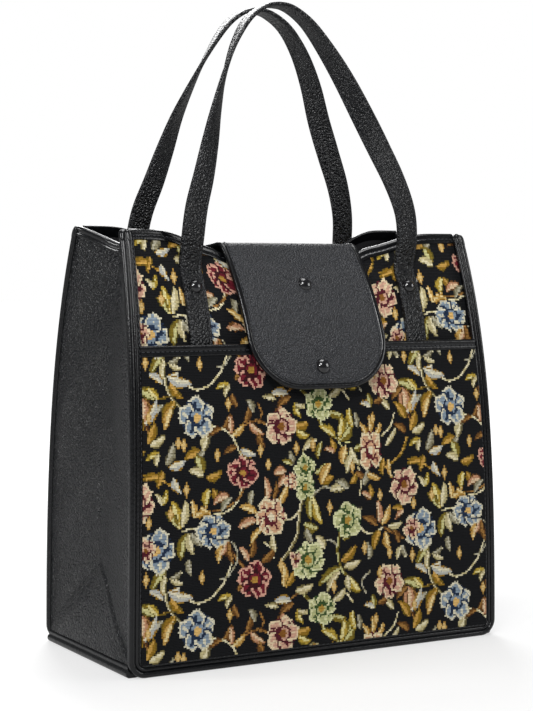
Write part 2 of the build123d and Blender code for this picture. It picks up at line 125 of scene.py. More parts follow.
def deselect():
    """Leaves object mode with nothing selected."""
    if bpy.context.object and bpy.context.object.mode != "OBJECT":
        bpy.ops.object.mode_set(mode="OBJECT")
    bpy.ops.object.select_all(action="DESELECT")


# The room is white to look at and dimmer as a light, so that black leather stays black
rays = add_node(world.node_tree, "ShaderNodeLightPath")
add_node(world.node_tree, "ShaderNodeMapRange", [("Value", rays.outputs["Is Camera Ray"])],
         [("Result", room.inputs["Strength"])], To_Min=0.15, To_Max=1.0)

deselect()
bpy.ops.mesh.primitive_plane_add(size=40)
floor = bpy.context.object
floor.name = "studio_floor"
# Matt white paint that glows a little as painted light, more to the camera than to the bag, and less
# near the bag, as painted shade where its shadow lies
floor_paint_and_glow, tree, shader, here = new_material("matt_white_studio_paint_and_glow", 0.6, "#969696")
shader.inputs["Emission Color"].default_value = (1, 1, 1, 1)
rays = add_node(tree, "ShaderNodeLightPath")
glow = add_node(tree, "ShaderNodeMapRange", [("Value", rays.outputs["Is Camera Ray"])],
                [("Result", shader.inputs["Emission Strength"])], To_Min=0.25)
# Painted shade: the glow fades from far away in towards the bag
reach = add_node(tree, "ShaderNodeVectorMath", [("Vector", here)], operation="LENGTH")
add_node(tree, "ShaderNodeMapRange", [("Value", reach.outputs["Value"])],
         [("Result", glow.inputs["To Max"])], From_Min=0.25, From_Max=1.5, To_Min=0.54, To_Max=1.0)
floor.data.materials.append(floor_paint_and_glow)

# ------------------------------------------------------------------ the form of the bag
# The walls lean in and narrow towards the mouth, where the middle is pinched and sags. Every
# sheet below hangs on these few curves.
WIDE, DEEP = 350.0, 170.0
FRONT_TALL, BACK_TALL = 348.0, 353.0
LEAN_AT_RIM, NARROWING_AT_RIM = 36.6, 10.3
FRONT_SAG, BACK_SAG = 15, 24


def lean(z):
    return LEAN_AT_RIM * (np.maximum(z, 0) / FRONT_TALL) ** 3.56


def half_width(z):
    return WIDE / 2 - NARROWING_AT_RIM * (np.maximum(z, 0) / FRONT_TALL) ** 1.77


def pinch(x, z):
    return 24 * (np.maximum(0, z - 256) / 80) ** 1.5 * np.exp(-((x / 100) ** 4))


def pocket_y(x, z):
    return -DEEP / 2 + lean(z) + 0 * x


def front_y(x, z):
    gape = 6.0 * np.maximum(0, 1 - (2 * x / WIDE) ** 4)
    return pocket_y(x, z) + 2.3 + gape + pinch(x, z)


def back_y(x, z):
    return DEEP / 2 - lean(z) - 0.5 - pinch(x, z)


def sagging_rim(x, tall, sag):
    return tall - sag * np.exp(-((x / 103) ** 6)) - 5 * np.exp(-((x / 70) ** 12))


def front_rim(x):
    return sagging_rim(x, FRONT_TALL, FRONT_SAG)


def back_rim(x):
    return sagging_rim(x, BACK_TALL, BACK_SAG)


def gusset_x(y, z):
    depth = 10 * (1 - np.exp(-((z / 40) ** 2))) + 12 * (z / FRONT_TALL) ** 4
    across = np.minimum(1, np.abs(y) / (DEEP / 2 - lean(z)))
    return half_width(z) - 2 - depth * (1 + np.cos(np.pi * across)) / 2


def gusset_rim(y):
    along = np.clip(y / (DEEP / 2 - LEAN_AT_RIM), -1, 1)
    return 350.5 + along * 2.5 - 13 * (1 + np.cos(np.pi * along)) / 2


def apply_modifier(piece, kind, **settings):
    """Adds a modifier with its settings and applies it."""
    modifier = piece.modifiers.new(kind.lower(), kind)
    for key, value in settings.items():
        setattr(modifier, key, value)
    bpy.context.view_layer.objects.active = piece
    bpy.ops.object.modifier_apply(modifier=modifier.name)


def soft_sheet(name, points, thickness=0.0, smooth=True):
    """A grid moved to (columns, rows, 3) points; its thickness grows behind its face."""
    columns, rows = points.shape[:2]
    deselect()
    bpy.ops.mesh.primitive_grid_add(x_subdivisions=columns - 1, y_subdivisions=rows - 1, size=1)
    piece = bpy.context.object
    piece.name = name
    flat = points.transpose(1, 0, 2).reshape(-1, 3) * MM
    piece.data.vertices.foreach_set("co", flat.astype(np.float32).ravel())
    piece.data.update()
    if thickness:
        apply_modifier(piece, "SOLIDIFY", thickness=thickness * MM, offset=-1)
    if smooth:
        bpy.ops.object.shade_smooth_by_angle(angle=math.radians(50))
    return piece


def swept(name, rings):
    """A closed tube through (stations, ring, 3) points, with both ends filled."""
    rings = np.concatenate([rings, rings[:, :1]], axis=1)
    piece = soft_sheet(name, rings.transpose(1, 0, 2), smooth=False)
    bpy.ops.object.mode_set(mode="EDIT")
    bpy.ops.mesh.select_all(action="SELECT")
    bpy.ops.mesh.remove_doubles(threshold=0.000002)
    bpy.ops.mesh.fill_holes(sides=0)
    bpy.ops.mesh.select_all(action="SELECT")
    bpy.ops.mesh.normals_make_consistent(inside=False)
    bpy.ops.object.mode_set(mode="OBJECT")
    bpy.ops.object.shade_smooth_by_angle(angle=math.radians(50))
    return piece


def flowing(points, steps, closed=False):
    """A smooth line through rows of numbers, with a number of steps between rows."""
    points = np.asarray(points, float)
    if closed:
        padded = np.concatenate([points[-1:], points, points[:2]])
    else:
        padded = np.concatenate([2 * points[:1] - points[1:2], points,
                                 2 * points[-1:] - points[-2:-1]])
    out = []
    for p0, p1, p2, p3 in zip(padded, padded[1:], padded[2:], padded[3:]):
        for t in np.arange(steps) / steps:
            out.append(0.5 * (2 * p1 + (p2 - p0) * t + (2 * p0 - 5 * p1 + 4 * p2 - p3) * t * t
                              + (3 * p1 - p0 - 3 * p2 + p3) * t ** 3))
    if not closed:
        out.append(points[-1])
    return np.array(out)


# ------------------------------------------------------------------ leathers
# Cowhide dyed through and finished black. The gussets and straps keep a pebbled grain, the
# flap a finer one, and the turned bindings are pressed smooth and shine most.

def leather(name, hex_colour, pebble_top_hex, pebble_mm, roughness, depth, crease=0.35):
    """Dyed leather: rounded pebbles of a given width with finer wrinkles between them, and painted
    shade that darkens the gaps between the pebbles.
    """
    material, tree, shader, here = new_material(name, roughness, hex_colour, 0.38)
    warp = add_node(tree, "ShaderNodeTexNoise", [("Vector", here)], Scale=120.0, Detail=3.0)
    mixed = add_node(tree, "ShaderNodeMix", [(4, here), (5, warp.outputs["Color"])],
                     data_type="VECTOR")
    mixed.inputs[0].default_value = 0.0012
    where = mixed.outputs[1]
    pebbles = add_node(tree, "ShaderNodeTexVoronoi", [("Vector", where)],
                       feature="SMOOTH_F1", Scale=1 / (pebble_mm * MM), Smoothness=0.45)
    folds = add_node(tree, "ShaderNodeTexNoise", [("Vector", where)],
                     Scale=0.45 / (pebble_mm * MM), Detail=4.0, Roughness=0.6)
    height = add_node(tree, "ShaderNodeMath", [(0, pebbles.outputs["Distance"])],
                      operation="MULTIPLY")
    height.inputs[1].default_value = -1.0
    relief = add_node(tree, "ShaderNodeMath", [(0, folds.outputs["Fac"]), (2, height.outputs[0])],
                      operation="MULTIPLY_ADD")
    relief.inputs[1].default_value = crease
    add_node(tree, "ShaderNodeBump", [("Height", relief.outputs[0])],
             [("Normal", shader.inputs["Normal"])], Strength=0.9, Distance=depth * MM)
    # Painted shade: the colour is lighter on each pebble's top and darker in the gaps between the
    # pebbles, where shade falls
    pebble_shading = add_node(tree, "ShaderNodeValToRGB", [("Fac", pebbles.outputs["Distance"])],
                    [("Color", shader.inputs["Base Color"])])
    for stop, position, colour in ((0, 0.1, pebble_top_hex), (1, 0.6, hex_colour)):
        pebble_shading.color_ramp.elements[stop].color = linear(colour)
        pebble_shading.color_ramp.elements[stop].position = position
    patches = add_node(tree, "ShaderNodeTexNoise", [("Vector", here)], Scale=35.0, Detail=3.0)
    add_node(tree, "ShaderNodeMapRange", [("Value", patches.outputs["Fac"])],
             [("Result", shader.inputs["Roughness"])],
             To_Min=roughness - 0.07, To_Max=roughness + 0.09)
    return material


# The second colour of each leather is painted on its pebble tops, and the gaps take the darker first
# colour as painted shade
PEBBLED = leather("pebbled_black_cowhide", "#07080a", "#16181c", 1.8, 0.29, 2.3)
FLAP_HIDE = leather("fine_grained_charcoal_cowhide", "#1c1d20", "#33353a", 1.3, 0.42, 1.3)
SMOOTH_HIDE = leather("pressed_smooth_black_cowhide", "#07080a", "#101114", 2.6, 0.24, 0.12)

THREAD, tree, shader, here = new_material("waxed_black_polyester_thread", 0.45, "#2a2c31")
twist = add_node(tree, "ShaderNodeTexWave", [("Vector", here)], Scale=900.0, Distortion=2.0)
add_node(tree, "ShaderNodeBump", [("Height", twist.outputs["Fac"])],
         [("Normal", shader.inputs["Normal"])], Strength=0.4, Distance=0.2 * MM)


def finish_piece(piece, material, body, slot, *nodes):
    """Gives a piece its material, the body it rides on and the nodes it replaces; its slot is not used.
    """
    piece.data.materials.clear()
    piece.data.materials.append(material)
    if body:
        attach(piece, body)
    if nodes:
        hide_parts(*nodes)
    return piece


# ------------------------------------------------------------------ seams
# Rows of lockstitch in waxed thread. One stitch is shaped from a small ball and laid out
# along each seam, half sunk in the leather.
deselect()
bpy.ops.mesh.primitive_uv_sphere_add(segments=6, ring_count=4, radius=1)
one_stitch = bpy.context.object
STITCH_POINTS = np.array([v.co[:] for v in one_stitch.data.vertices])
# The sphere's faces come in another order each run, and sorting them makes every run the same
STITCH_FACES = sorted(list(p.vertices) for p in one_stitch.data.polygons)
bpy.ops.object.delete()


def seam(name, line, normals, body, slot, pitch=4.2, long=3.1, thick=0.75):
    """Stitches along a line of points, each standing on a surface normal."""
    line, normals = np.asarray(line, float), np.asarray(normals, float)
    steps = np.r_[0, np.cumsum(np.linalg.norm(np.diff(line, axis=0), axis=1))]
    marks = np.arange(pitch / 2, steps[-1], pitch)
    at = np.stack([np.interp(marks, steps, line[:, i]) for i in range(3)], 1)
    ahead = np.stack([np.interp(marks + 0.5, steps, line[:, i]) for i in range(3)], 1)
    behind = np.stack([np.interp(marks - 0.5, steps, line[:, i]) for i in range(3)], 1)
    up = np.stack([np.interp(marks, steps, normals[:, i]) for i in range(3)], 1)
    run = ahead - behind
    run /= np.linalg.norm(run, axis=1)[:, None]
    up -= run * (up * run).sum(1)[:, None]
    up /= np.linalg.norm(up, axis=1)[:, None]
    side = np.cross(up, run)
    ball = STITCH_POINTS
    points = (at[:, None] + run[:, None] * ball[None, :, 2:3] * long / 2
              + side[:, None] * ball[None, :, 0:1] * thick / 2
              + up[:, None] * ball[None, :, 1:2] * thick / 2)
    count = len(ball)
    faces = [[i + k * count for i in face] for k in range(len(marks)) for face in STITCH_FACES]
    mesh = bpy.data.meshes.new(name)
    mesh.from_pydata((points.reshape(-1, 3) * MM).tolist(), [], faces)
    piece = bpy.data.objects.new(name, mesh)
    bpy.context.scene.collection.objects.link(piece)
    mesh.polygons.foreach_set("use_smooth", [True] * len(mesh.polygons))
    deselect()
    piece.select_set(True)
    bpy.context.view_layer.objects.active = piece
    bpy.ops.object.mode_set(mode="EDIT")
    bpy.ops.mesh.select_all(action="SELECT")
    bpy.ops.mesh.normals_make_consistent(inside=False)
    bpy.ops.object.mode_set(mode="OBJECT")
    return finish_piece(piece, THREAD, body, slot)


# ------------------------------------------------------------------ the cloth's pattern
# Jacquard tapestry: a black ground with floating coloured wefts that make a repeat of
# flowers, leaves, vines and small lozenges. Each stitch of the weave is one square cell.
CELL = 1.3
REPEAT = (250.0, 168.0)
across_cells, up_cells = round(REPEAT[0] / CELL), round(REPEAT[1] / CELL)
CELL_X, CELL_Z = REPEAT[0] / across_cells, REPEAT[1] / up_cells
cell_x = (np.arange(across_cells) + 0.5)[None, :] * CELL_X + np.zeros((up_cells, 1))
cell_z = (np.arange(up_cells) + 0.5)[:, None] * CELL_Z + np.zeros((1, across_cells))
dice = np.random.default_rng(11)
ragged_x, ragged_z = dice.uniform(-0.75, 0.75, (2, up_cells, across_cells))
weave = np.zeros((up_cells, across_cells, 3)) + linear("#0c0d10")[:3]

LEAF_DYES = {
    "ochre": ("#6b5614", "#8f6c1c", "#c79c4c"), "gold": ("#8a6420", "#c29a52", "#e4cd94"),
    "white": ("#947026", "#b4b4ac", "#ddd5b8"), "grey": ("#5f583f", "#8f886c", "#b7b29b"),
    "brown": ("#46290f", "#6a461c", "#9a7038"), "peach": ("#6b441c", "#bd8b68", "#dcc09c"),
    "olive": ("#574d12", "#7a6820", "#c9c488"), "yellow": ("#6f5e14", "#b4983a", "#e0d494"),
    "cream": ("#756a40", "#bfb283", "#e2d8b2"),
}
FLOWER_DYES = {
    "blue": ("#d8d2b8", "#8494a2", "#1c2c44", "#d8b06a"),
    "rose": ("#e2cda8", "#cda088", "#511722", "#85561f"),
    "green": ("#d8d8a8", "#b4b680", "#384f26", "#ad8a38"),
    "burgundy": ("#d3a08a", "#6c1a28", "#380d14", "#b0863a"),
    "peach": ("#e2d2ac", "#cfa27e", "#5a1a24", "#e2d6b6"),
}


def from_point(x, z, ragged=0.7):
    """Each cell's offset from a point, measured the short way round the repeat."""
    east = (cell_x + ragged * ragged_x - x + REPEAT[0] / 2) % REPEAT[0] - REPEAT[0] / 2
    north = (cell_z + ragged * ragged_z - z + REPEAT[1] / 2) % REPEAT[1] - REPEAT[1] / 2
    return east, north


def dye(mask, hex_colour):
    weave[mask] = linear(hex_colour)[:3]


def leaf(x, z, long, wide, turn, dyes):
    """A pointed leaf from its stalk at (x, z): dark edge, lit half and a pale midrib."""
    edge, body, pale = LEAF_DYES[dyes]
    east, north = from_point(x, z)
    c, s = math.cos(math.radians(turn)), math.sin(math.radians(turn))
    along, off = (east * c + north * s) / long, -east * s + north * c
    off = off + wide * 0.22 * np.sin(np.pi * along)
    belly = np.where((along > 0) & (along < 1),
                     np.sin(np.pi * np.clip(along, 0, 1) ** 0.8) ** 0.75, 0)
    reach = np.abs(off) / np.maximum(belly * wide / 2, 0.01)
    inside = (belly > 0) & (reach < 1)
    dye(inside, edge)
    dye(inside & (reach < 0.74), body)
    dye(inside & (off > 0) & (reach < 0.72) & (along < 0.85), pale)


def vine(points, dyes="cream", thick=1):
    """A stem through a few points, one or two stitches thick."""
    edge, body, pale = LEAF_DYES[dyes]
    for step, (x, z) in enumerate(flowing(points, 34)):
        i, j = int(z / CELL_Z) % up_cells, int(x / CELL_X) % across_cells
        shade = pale if (step // 9) % 3 else body
        weave[i, j] = linear(shade)[:3]
        if thick > 1:
            weave[i, (j + 1) % across_cells] = linear(edge)[:3]


def flower(x, z, size, dyes, petals=5, turn=0.0, squash=1.0):
    """A full bloom: overlapping rounded petals with pale rims, dark folds and a bright heart."""
    rim, petal, fold, heart = FLOWER_DYES[dyes]
    east, north = from_point(x, z)
    north = north / squash
    reach = np.hypot(east, north) / size
    for k in range(petals):
        bearing = turn + 2 * math.pi * k / petals
        c, s = math.cos(bearing), math.sin(bearing)
        out, off = east * c + north * s - 0.54 * size, -east * s + north * c
        lumps = 1 + 0.10 * np.cos(5 * np.arctan2(off, out) + k)
        near = np.hypot(out, off) / (0.46 * size * (0.88 + 0.1 * (k * 7 % 3)) * lumps)
        dye((near < 1.2) & (reach < 0.86), fold)
        dye(near < 1, rim)
        dye(near < 0.72, petal)
        dye((near < 0.74) & (reach < 0.47), fold)
        if k % 2:
            dye((np.abs(off - 0.2 * out) < 0.06 * size) & (near < 0.6) & (reach < 0.78), fold)
        else:
            dye((np.abs(off + 0.2 * out) < 0.07 * size) & (near < 0.6) & (reach > 0.5), rim)
    dye(reach < 0.40, fold)
    dye((reach < 0.34) & (east * c - north * s > -0.1 * size), petal)
    dye(reach < 0.20, heart)


def lozenge(x, z):
    """A small stepped gold diamond."""
    east, north = from_point(x, z, 0.0)
    dye((np.abs(east) / 3.0 + np.abs(north) / 6.4) < 1, "#a8813c")
    dye((np.abs(east) / 2.1 + np.abs(north) / 4.6) < 1, "#d8b878")


for points, dyes, thick in (
    ([(31, 85), (31, 68), (36, 52), (50, 38)], "cream", 2),
    ([(50, 62), (60, 56), (73, 60), (84, 71), (91, 86)], "cream", 1),
    ([(36, 52), (24, 50), (10, 54), (-4, 52)], "ochre", 2),
    ([(60, 34), (70, 22), (67, 10), (58, 4)], "grey", 2),
    ([(72, 28), (84, 24), (92, 18), (98, 6)], "cream", 1),
    ([(90, 20), (102, 26), (115, 30), (124, 26)], "brown", 2),
    ([(98, 6), (104, -4), (101, -12)], "cream", 1),
    ([(74, 125), (84, 126), (95, 133), (101, 148)], "cream", 1),
    ([(74, 128), (86, 130), (98, 138), (104, 150)], "brown", 1),
    ([(46, 114), (56, 115), (66, 113)], "cream", 1),
    ([(83, 103), (92, 92), (99, 84), (106, 78)], "brown", 2),
    ([(84, 104), (93, 100), (96, 88), (88, 76), (80, 73)], "grey", 1),
    ([(157, 136), (153, 120), (151, 104), (144, 92), (137, 84)], "cream", 2),
    ([(140, 116), (148, 118), (154, 124)], "cream", 1),
    ([(166, 135), (178, 141), (190, 137), (200, 140)], "grey", 2),
    ([(168, 40), (160, 52), (152, 60)], "olive", 2),
    ([(192, 102), (190, 86), (194, 72), (204, 62)], "olive", 2),
    ([(210, 108), (218, 101), (227, 100), (236, 104)], "cream", 1),
    ([(236, 104), (246, 98), (256, 93)], "brown", 2),
    ([(152, 56), (143, 50), (138, 42), (137, 34)], "brown", 1),
    ([(174, 28), (182, 18), (192, 12), (204, 8)], "olive", 2),
    ([(192, 12), (198, 2), (204, -8)], "olive", 1),
    ([(212, 156), (214, 144), (213, 132)], "cream", 1),
    ([(236, 12), (246, 20), (250, 30)], "cream", 1),
    ([(232, 152), (246, 158), (256, 166), (262, 178)], "ochre", 2),
    ([(12, 160), (26, 156), (36, 150)], "ochre", 1),
    ([(205, 44), (198, 52), (190, 50)], "cream", 1),
    ([(222, 68), (214, 60), (218, 50)], "grey", 1),
    ([(116, 44), (120, 36), (117, 28)], "brown", 1),
    ([(173, 96), (183, 97), (190, 92)], "grey", 1),
    ([(120, 100), (128, 94), (130, 86)], "cream", 1),
    ([(20, 18), (14, 30), (8, 40)], "brown", 2),
):
    vine(points, dyes, thick)

for x, z, long, wide, turn, dyes in (
    (31, 84, 19, 8, 232, "olive"), (32, 80, 15, 6, 262, "cream"), (34, 66, 12, 6, 22, "white"),
    (35, 66, 22, 9, -12, "white"), (36, 62, 17, 7, -48, "ochre"), (30, 62, 15, 7, 150, "white"),
    (24, 50, 20, 9, 158, "olive"), (26, 49, 15, 6, 138, "yellow"), (40, 48, 22, 10, 244, "ochre"),
    (38, 44, 20, 7, 250, "gold"), (30, 46, 14, 6, 228, "grey"), (12, 50, 17, 8, 262, "peach"),
    (10, 52, 15, 7, 222, "brown"), (14, 51, 15, 7, 300, "brown"), (6, 54, 13, 5, 195, "peach"),
    (70, 21, 15, 8, 252, "cream"), (64, 8, 17, 8, 200, "ochre"), (66, 8, 13, 6, 240, "grey"),
    (12, 32, 20, 9, 92, "peach"), (14, 30, 22, 8, 62, "white"), (12, 26, 18, 8, 128, "ochre"),
    (16, 16, 18, 8, 70, "ochre"), (18, 14, 16, 7, 30, "cream"), (12, 14, 15, 7, 150, "brown"),
    (84, 24, 15, 6, 62, "brown"), (90, 20, 16, 6, 92, "peach"), (92, 18, 15, 6, 42, "gold"),
    (82, 25, 14, 6, 205, "brown"), (96, 10, 14, 6, 205, "brown"), (99, 8, 16, 7, -20, "white"),
    (104, 28, 15, 6, 72, "brown"), (108, 28, 17, 7, -35, "peach"), (112, 36, 13, 6, 115, "grey"),
    (116, 20, 13, 7, -62, "brown"), (150, 24, 15, 9, 8, "ochre"), (152, 20, 14, 7, -20, "yellow"),
    (172, 12, 17, 7, 212, "cream"), (176, 10, 15, 6, 255, "olive"), (190, 14, 18, 8, 150, "yellow"),
    (194, 12, 20, 8, 82, "yellow"), (196, 10, 18, 8, 50, "olive"), (200, 6, 16, 8, 258, "gold"),
    (204, 4, 18, 7, -58, "cream"), (208, 2, 14, 7, 30, "olive"), (212, 20, 14, 5, 100, "grey"),
    (225, 15, 15, 6, 92, "gold"), (221, 13, 13, 5, 118, "gold"), (230, 13, 13, 5, 64, "gold"),
    (240, 4, 20, 5, 52, "cream"), (242, 160, 17, 5, 282, "gold"), (238, 162, 16, 5, 262, "ochre"),
    (32, 166, 19, 8, 70, "grey"), (34, 164, 17, 8, 20, "white"), (30, 162, 14, 7, 250, "ochre"),
    (38, 156, 14, 7, -60, "white"), (26, 158, 15, 7, 190, "ochre"), (64, 158, 17, 9, 110, "olive"),
    (66, 156, 15, 8, 160, "cream"), (68, 154, 15, 8, 20, "ochre"), (70, 146, 15, 8, 260, "yellow"),
    (74, 146, 13, 6, 300, "ochre"), (44, 116, 24, 9, 108, "yellow"), (46, 117, 22, 8, 82, "cream"),
    (42, 118, 17, 7, 132, "olive"), (57, 124, 15, 6, 100, "gold"), (58, 124, 14, 6, 40, "gold"),
    (50, 112, 22, 9, 256, "olive"), (52, 112, 18, 8, 284, "cream"), (54, 112, 15, 6, 312, "grey"),
    (52, 92, 14, 6, 280, "grey"), (84, 103, 18, 7, 252, "gold"), (87, 104, 20, 7, 285, "brown"),
    (108, 88, 16, 7, 80, "brown"), (106, 86, 15, 6, 125, "peach"), (118, 84, 17, 8, 40, "brown"),
    (124, 134, 19, 7, 98, "peach"), (134, 130, 20, 7, 62, "gold"), (130, 134, 15, 5, 80, "brown"),
    (114, 124, 18, 7, 160, "gold"), (114, 118, 19, 8, 196, "peach"), (118, 112, 17, 6, 232, "gold"),
    (128, 105, 15, 6, 285, "cream"), (88, 140, 16, 8, 205, "peach"), (90, 138, 15, 6, 232, "grey"),
    (110, 142, 12, 6, 262, "grey"), (142, 156, 13, 8, 190, "peach"), (144, 152, 13, 7, 222, "peach"),
    (172, 148, 16, 9, 4, "ochre"), (170, 152, 14, 7, 40, "olive"), (166, 134, 26, 9, 292, "yellow"),
    (164, 136, 22, 7, 272, "olive"), (158, 112, 15, 9, -18, "olive"), (160, 108, 14, 7, -60, "grey"),
    (200, 140, 17, 9, 190, "cream"), (202, 138, 15, 7, 150, "grey"), (204, 142, 12, 6, 60, "ochre"),
    (184, 160, 20, 9, 244, "gold"), (206, 166, 16, 8, 250, "cream"), (196, 96, 15, 7, 60, "olive"),
    (194, 78, 20, 8, 42, "ochre"), (196, 74, 18, 7, 12, "cream"), (202, 64, 17, 8, -48, "yellow"),
    (200, 66, 14, 6, -80, "cream"), (194, 74, 26, 9, 212, "olive"), (192, 70, 20, 7, 232, "cream"),
    (178, 90, 15, 7, 128, "cream"), (139, 62, 20, 7, 92, "gold"), (141, 62, 15, 6, 60, "ochre"),
    (150, 58, 17, 8, 12, "cream"), (146, 50, 17, 8, 178, "white"), (148, 48, 16, 7, 214, "brown"),
    (134, 46, 13, 5, 170, "cream"), (140, 40, 13, 6, 232, "peach"), (234, 106, 19, 7, 62, "gold"),
    (232, 108, 20, 7, 96, "peach"), (230, 106, 17, 7, 152, "brown"), (232, 102, 18, 8, 250, "ochre"),
    (238, 100, 17, 7, 285, "gold"), (240, 104, 16, 6, 10, "cream"), (222, 78, 15, 6, 100, "grey"),
    (218, 142, 14, 6, 130, "brown"), (216, 140, 16, 7, 70, "grey"), (220, 150, 15, 6, -20, "gold"),
    (204, 116, 12, 5, 30, "grey"), (252, 90, 13, 6, 120, "brown"), (186, 46, 16, 7, 40, "cream"),
    (184, 34, 15, 7, -10, "olive"), (206, 32, 15, 7, 250, "olive"), (204, 36, 17, 7, 285, "yellow"),
    (80, 92, 13, 5, 60, "peach"), (62, 132, 12, 5, -30, "gold"), (96, 62, 14, 6, 60, "brown"),
    (92, 52, 13, 6, 300, "brown"), (246, 34, 15, 6, 140, "cream"), (230, 40, 13, 6, 30, "brown"),
):
    leaf(x, z, long, wide, turn, dyes)

for x, z, size, dyes, petals, turn, squash in (
    (60, 34, 16.5, "blue", 5, 0.4, 1.05), (138, 24, 15.5, "rose", 5, 1.3, 1.0),
    (160, 158, 10.5, "green", 4, 0.2, 1.1), (160, 142, 10.5, "green", 4, 0.9, 1.1),
    (127, 120, 15.0, "peach", 6, 0.0, 1.05), (101, 157, 14.5, "burgundy", 6, 0.7, 0.9),
    (225, 1, 12.5, "peach", 4, 0.8, 1.45), (8, 138, 15.0, "rose", 5, 2.2, 1.1),
    (201, 112, 14.5, "green", 5, 0.5, 1.1), (162, 82, 15.5, "green", 6, 1.8, 1.05),
    (112, 70, 16.0, "burgundy", 5, 0.2, 1.0), (74, 112, 15.5, "blue", 6, 1.1, 0.95),
    (24, 100, 17.0, "blue", 5, 2.5, 1.05), (15, 101, 9.0, "rose", 4, 0.3, 1.1),
    (242, 58, 14.5, "rose", 5, 0.9, 1.1), (175, 41, 14.5, "green", 5, 2.6, 0.95),
    (150, 84, 6.5, "rose", 3, 0.4, 1.2), (146, 148, 7.5, "peach", 3, 1.2, 1.0),
):
    flower(x, z, size, dyes, petals, turn, squash)

for x, z in (
    (17, 36), (89, 44), (43, 15), (64, 76), (48, 181), (136, 80), (168, 8), (125, 162),
    (50, 146), (17, 122), (187, 58), (183, 124), (206, 156), (217, 88), (233, 131),
    (15, 78), (228, 27), (242, 82), (78, 4), (118, 6), (152, 6), (232, 66), (36, 128),
):
    lozenge(x, z)

# Small sprigs grow into whatever ground is still bare
for attempt in range(900):
    x, z = dice.uniform(0, REPEAT[0]), dice.uniform(0, REPEAT[1])
    turn, kind = dice.uniform(0, 360), dice.integers(0, 9)
    east, north = from_point(x, z)
    around = np.hypot(east, north) < 7.5
    if (weave[around].sum(axis=1) > 0.05).mean() > 0.02:
        continue
    dyes = sorted(LEAF_DYES)[kind]
    tilt = math.radians(turn)
    foot = (x - 6 * math.cos(tilt), z - 6 * math.sin(tilt))
    if attempt % 3 == 0:
        vine([foot, (x, z), (x + 5 * math.cos(tilt + 0.8), z + 5 * math.sin(tilt + 0.8))], dyes)
    leaf(*foot, 12.5, 5.6, turn - 24, dyes)
    leaf(*foot, 11.0, 5.0, turn + 28, sorted(LEAF_DYES)[(kind + 2) % 9])

ribs = 1 + 0.10 * (-1.0) ** np.arange(up_cells)[:, None, None]
weave *= ribs * dice.uniform(0.86, 1.10, weave.shape[:2])[:, :, None]


def bare_cells(columns, rows, cell_mm, shift):
    """The repeat's colour for each cell of a cloth, counted from its lower left corner."""
    j = ((np.arange(columns) + 0.5) * cell_mm + shift[0]) / CELL_X
    i = ((np.arange(rows) + 0.5) * cell_mm + shift[1]) / CELL_Z
    picked = weave[(i.astype(int) % up_cells)[:, None], (j.astype(int) % across_cells)[None, :]]
    return picked.reshape(-1, 3)


TAPESTRY, tree, shader, here = new_material("woven_cotton_tapestry", 0.82)
shader.inputs["Specular IOR Level"].default_value = 0.16
dyed = add_node(tree, "ShaderNodeAttribute", attribute_name="weave")
# Weft ribs lie one stitch apart up the cloth, and warp threads pass between them
wefts = add_node(tree, "ShaderNodeTexWave", [("Vector", here)], wave_type="BANDS",
                 bands_direction="Z", Scale=1 / (CELL * MM) / 3.1831, Distortion=0.4)
warps = add_node(tree, "ShaderNodeTexWave", [("Vector", here)], wave_type="BANDS",
                 bands_direction="X", Scale=1 / (CELL * MM) / 3.1831, Distortion=0.4)
thread_height = add_node(tree, "ShaderNodeMath",
                         [(0, warps.outputs["Fac"]), (2, wefts.outputs["Fac"])],
                         operation="MULTIPLY_ADD")
thread_height.inputs[1].default_value = 0.35
add_node(tree, "ShaderNodeBump", [("Height", thread_height.outputs[0])],
         [("Normal", shader.inputs["Normal"])], Strength=0.6, Distance=0.4 * MM)
fuzz = add_node(tree, "ShaderNodeTexNoise", [("Vector", here)], Scale=1400.0, Detail=2.0)
shade = add_node(tree, "ShaderNodeMapRange", [("Value", fuzz.outputs["Fac"])],
                 To_Min=0.62, To_Max=1.04)
add_node(tree, "ShaderNodeVectorMath", [(0, dyed.outputs["Color"]), ("Scale", shade.outputs["Result"])],
         [("Vector", shader.inputs["Base Color"])], operation="SCALE")


# ------------------------------------------------------------------ cloth walls and pocket
# Three pieces of the same tapestry: both walls and the front pocket, each cut straight and
# sewn into the pipings. The walls sag a little at their top edge; the pocket's runs straight.

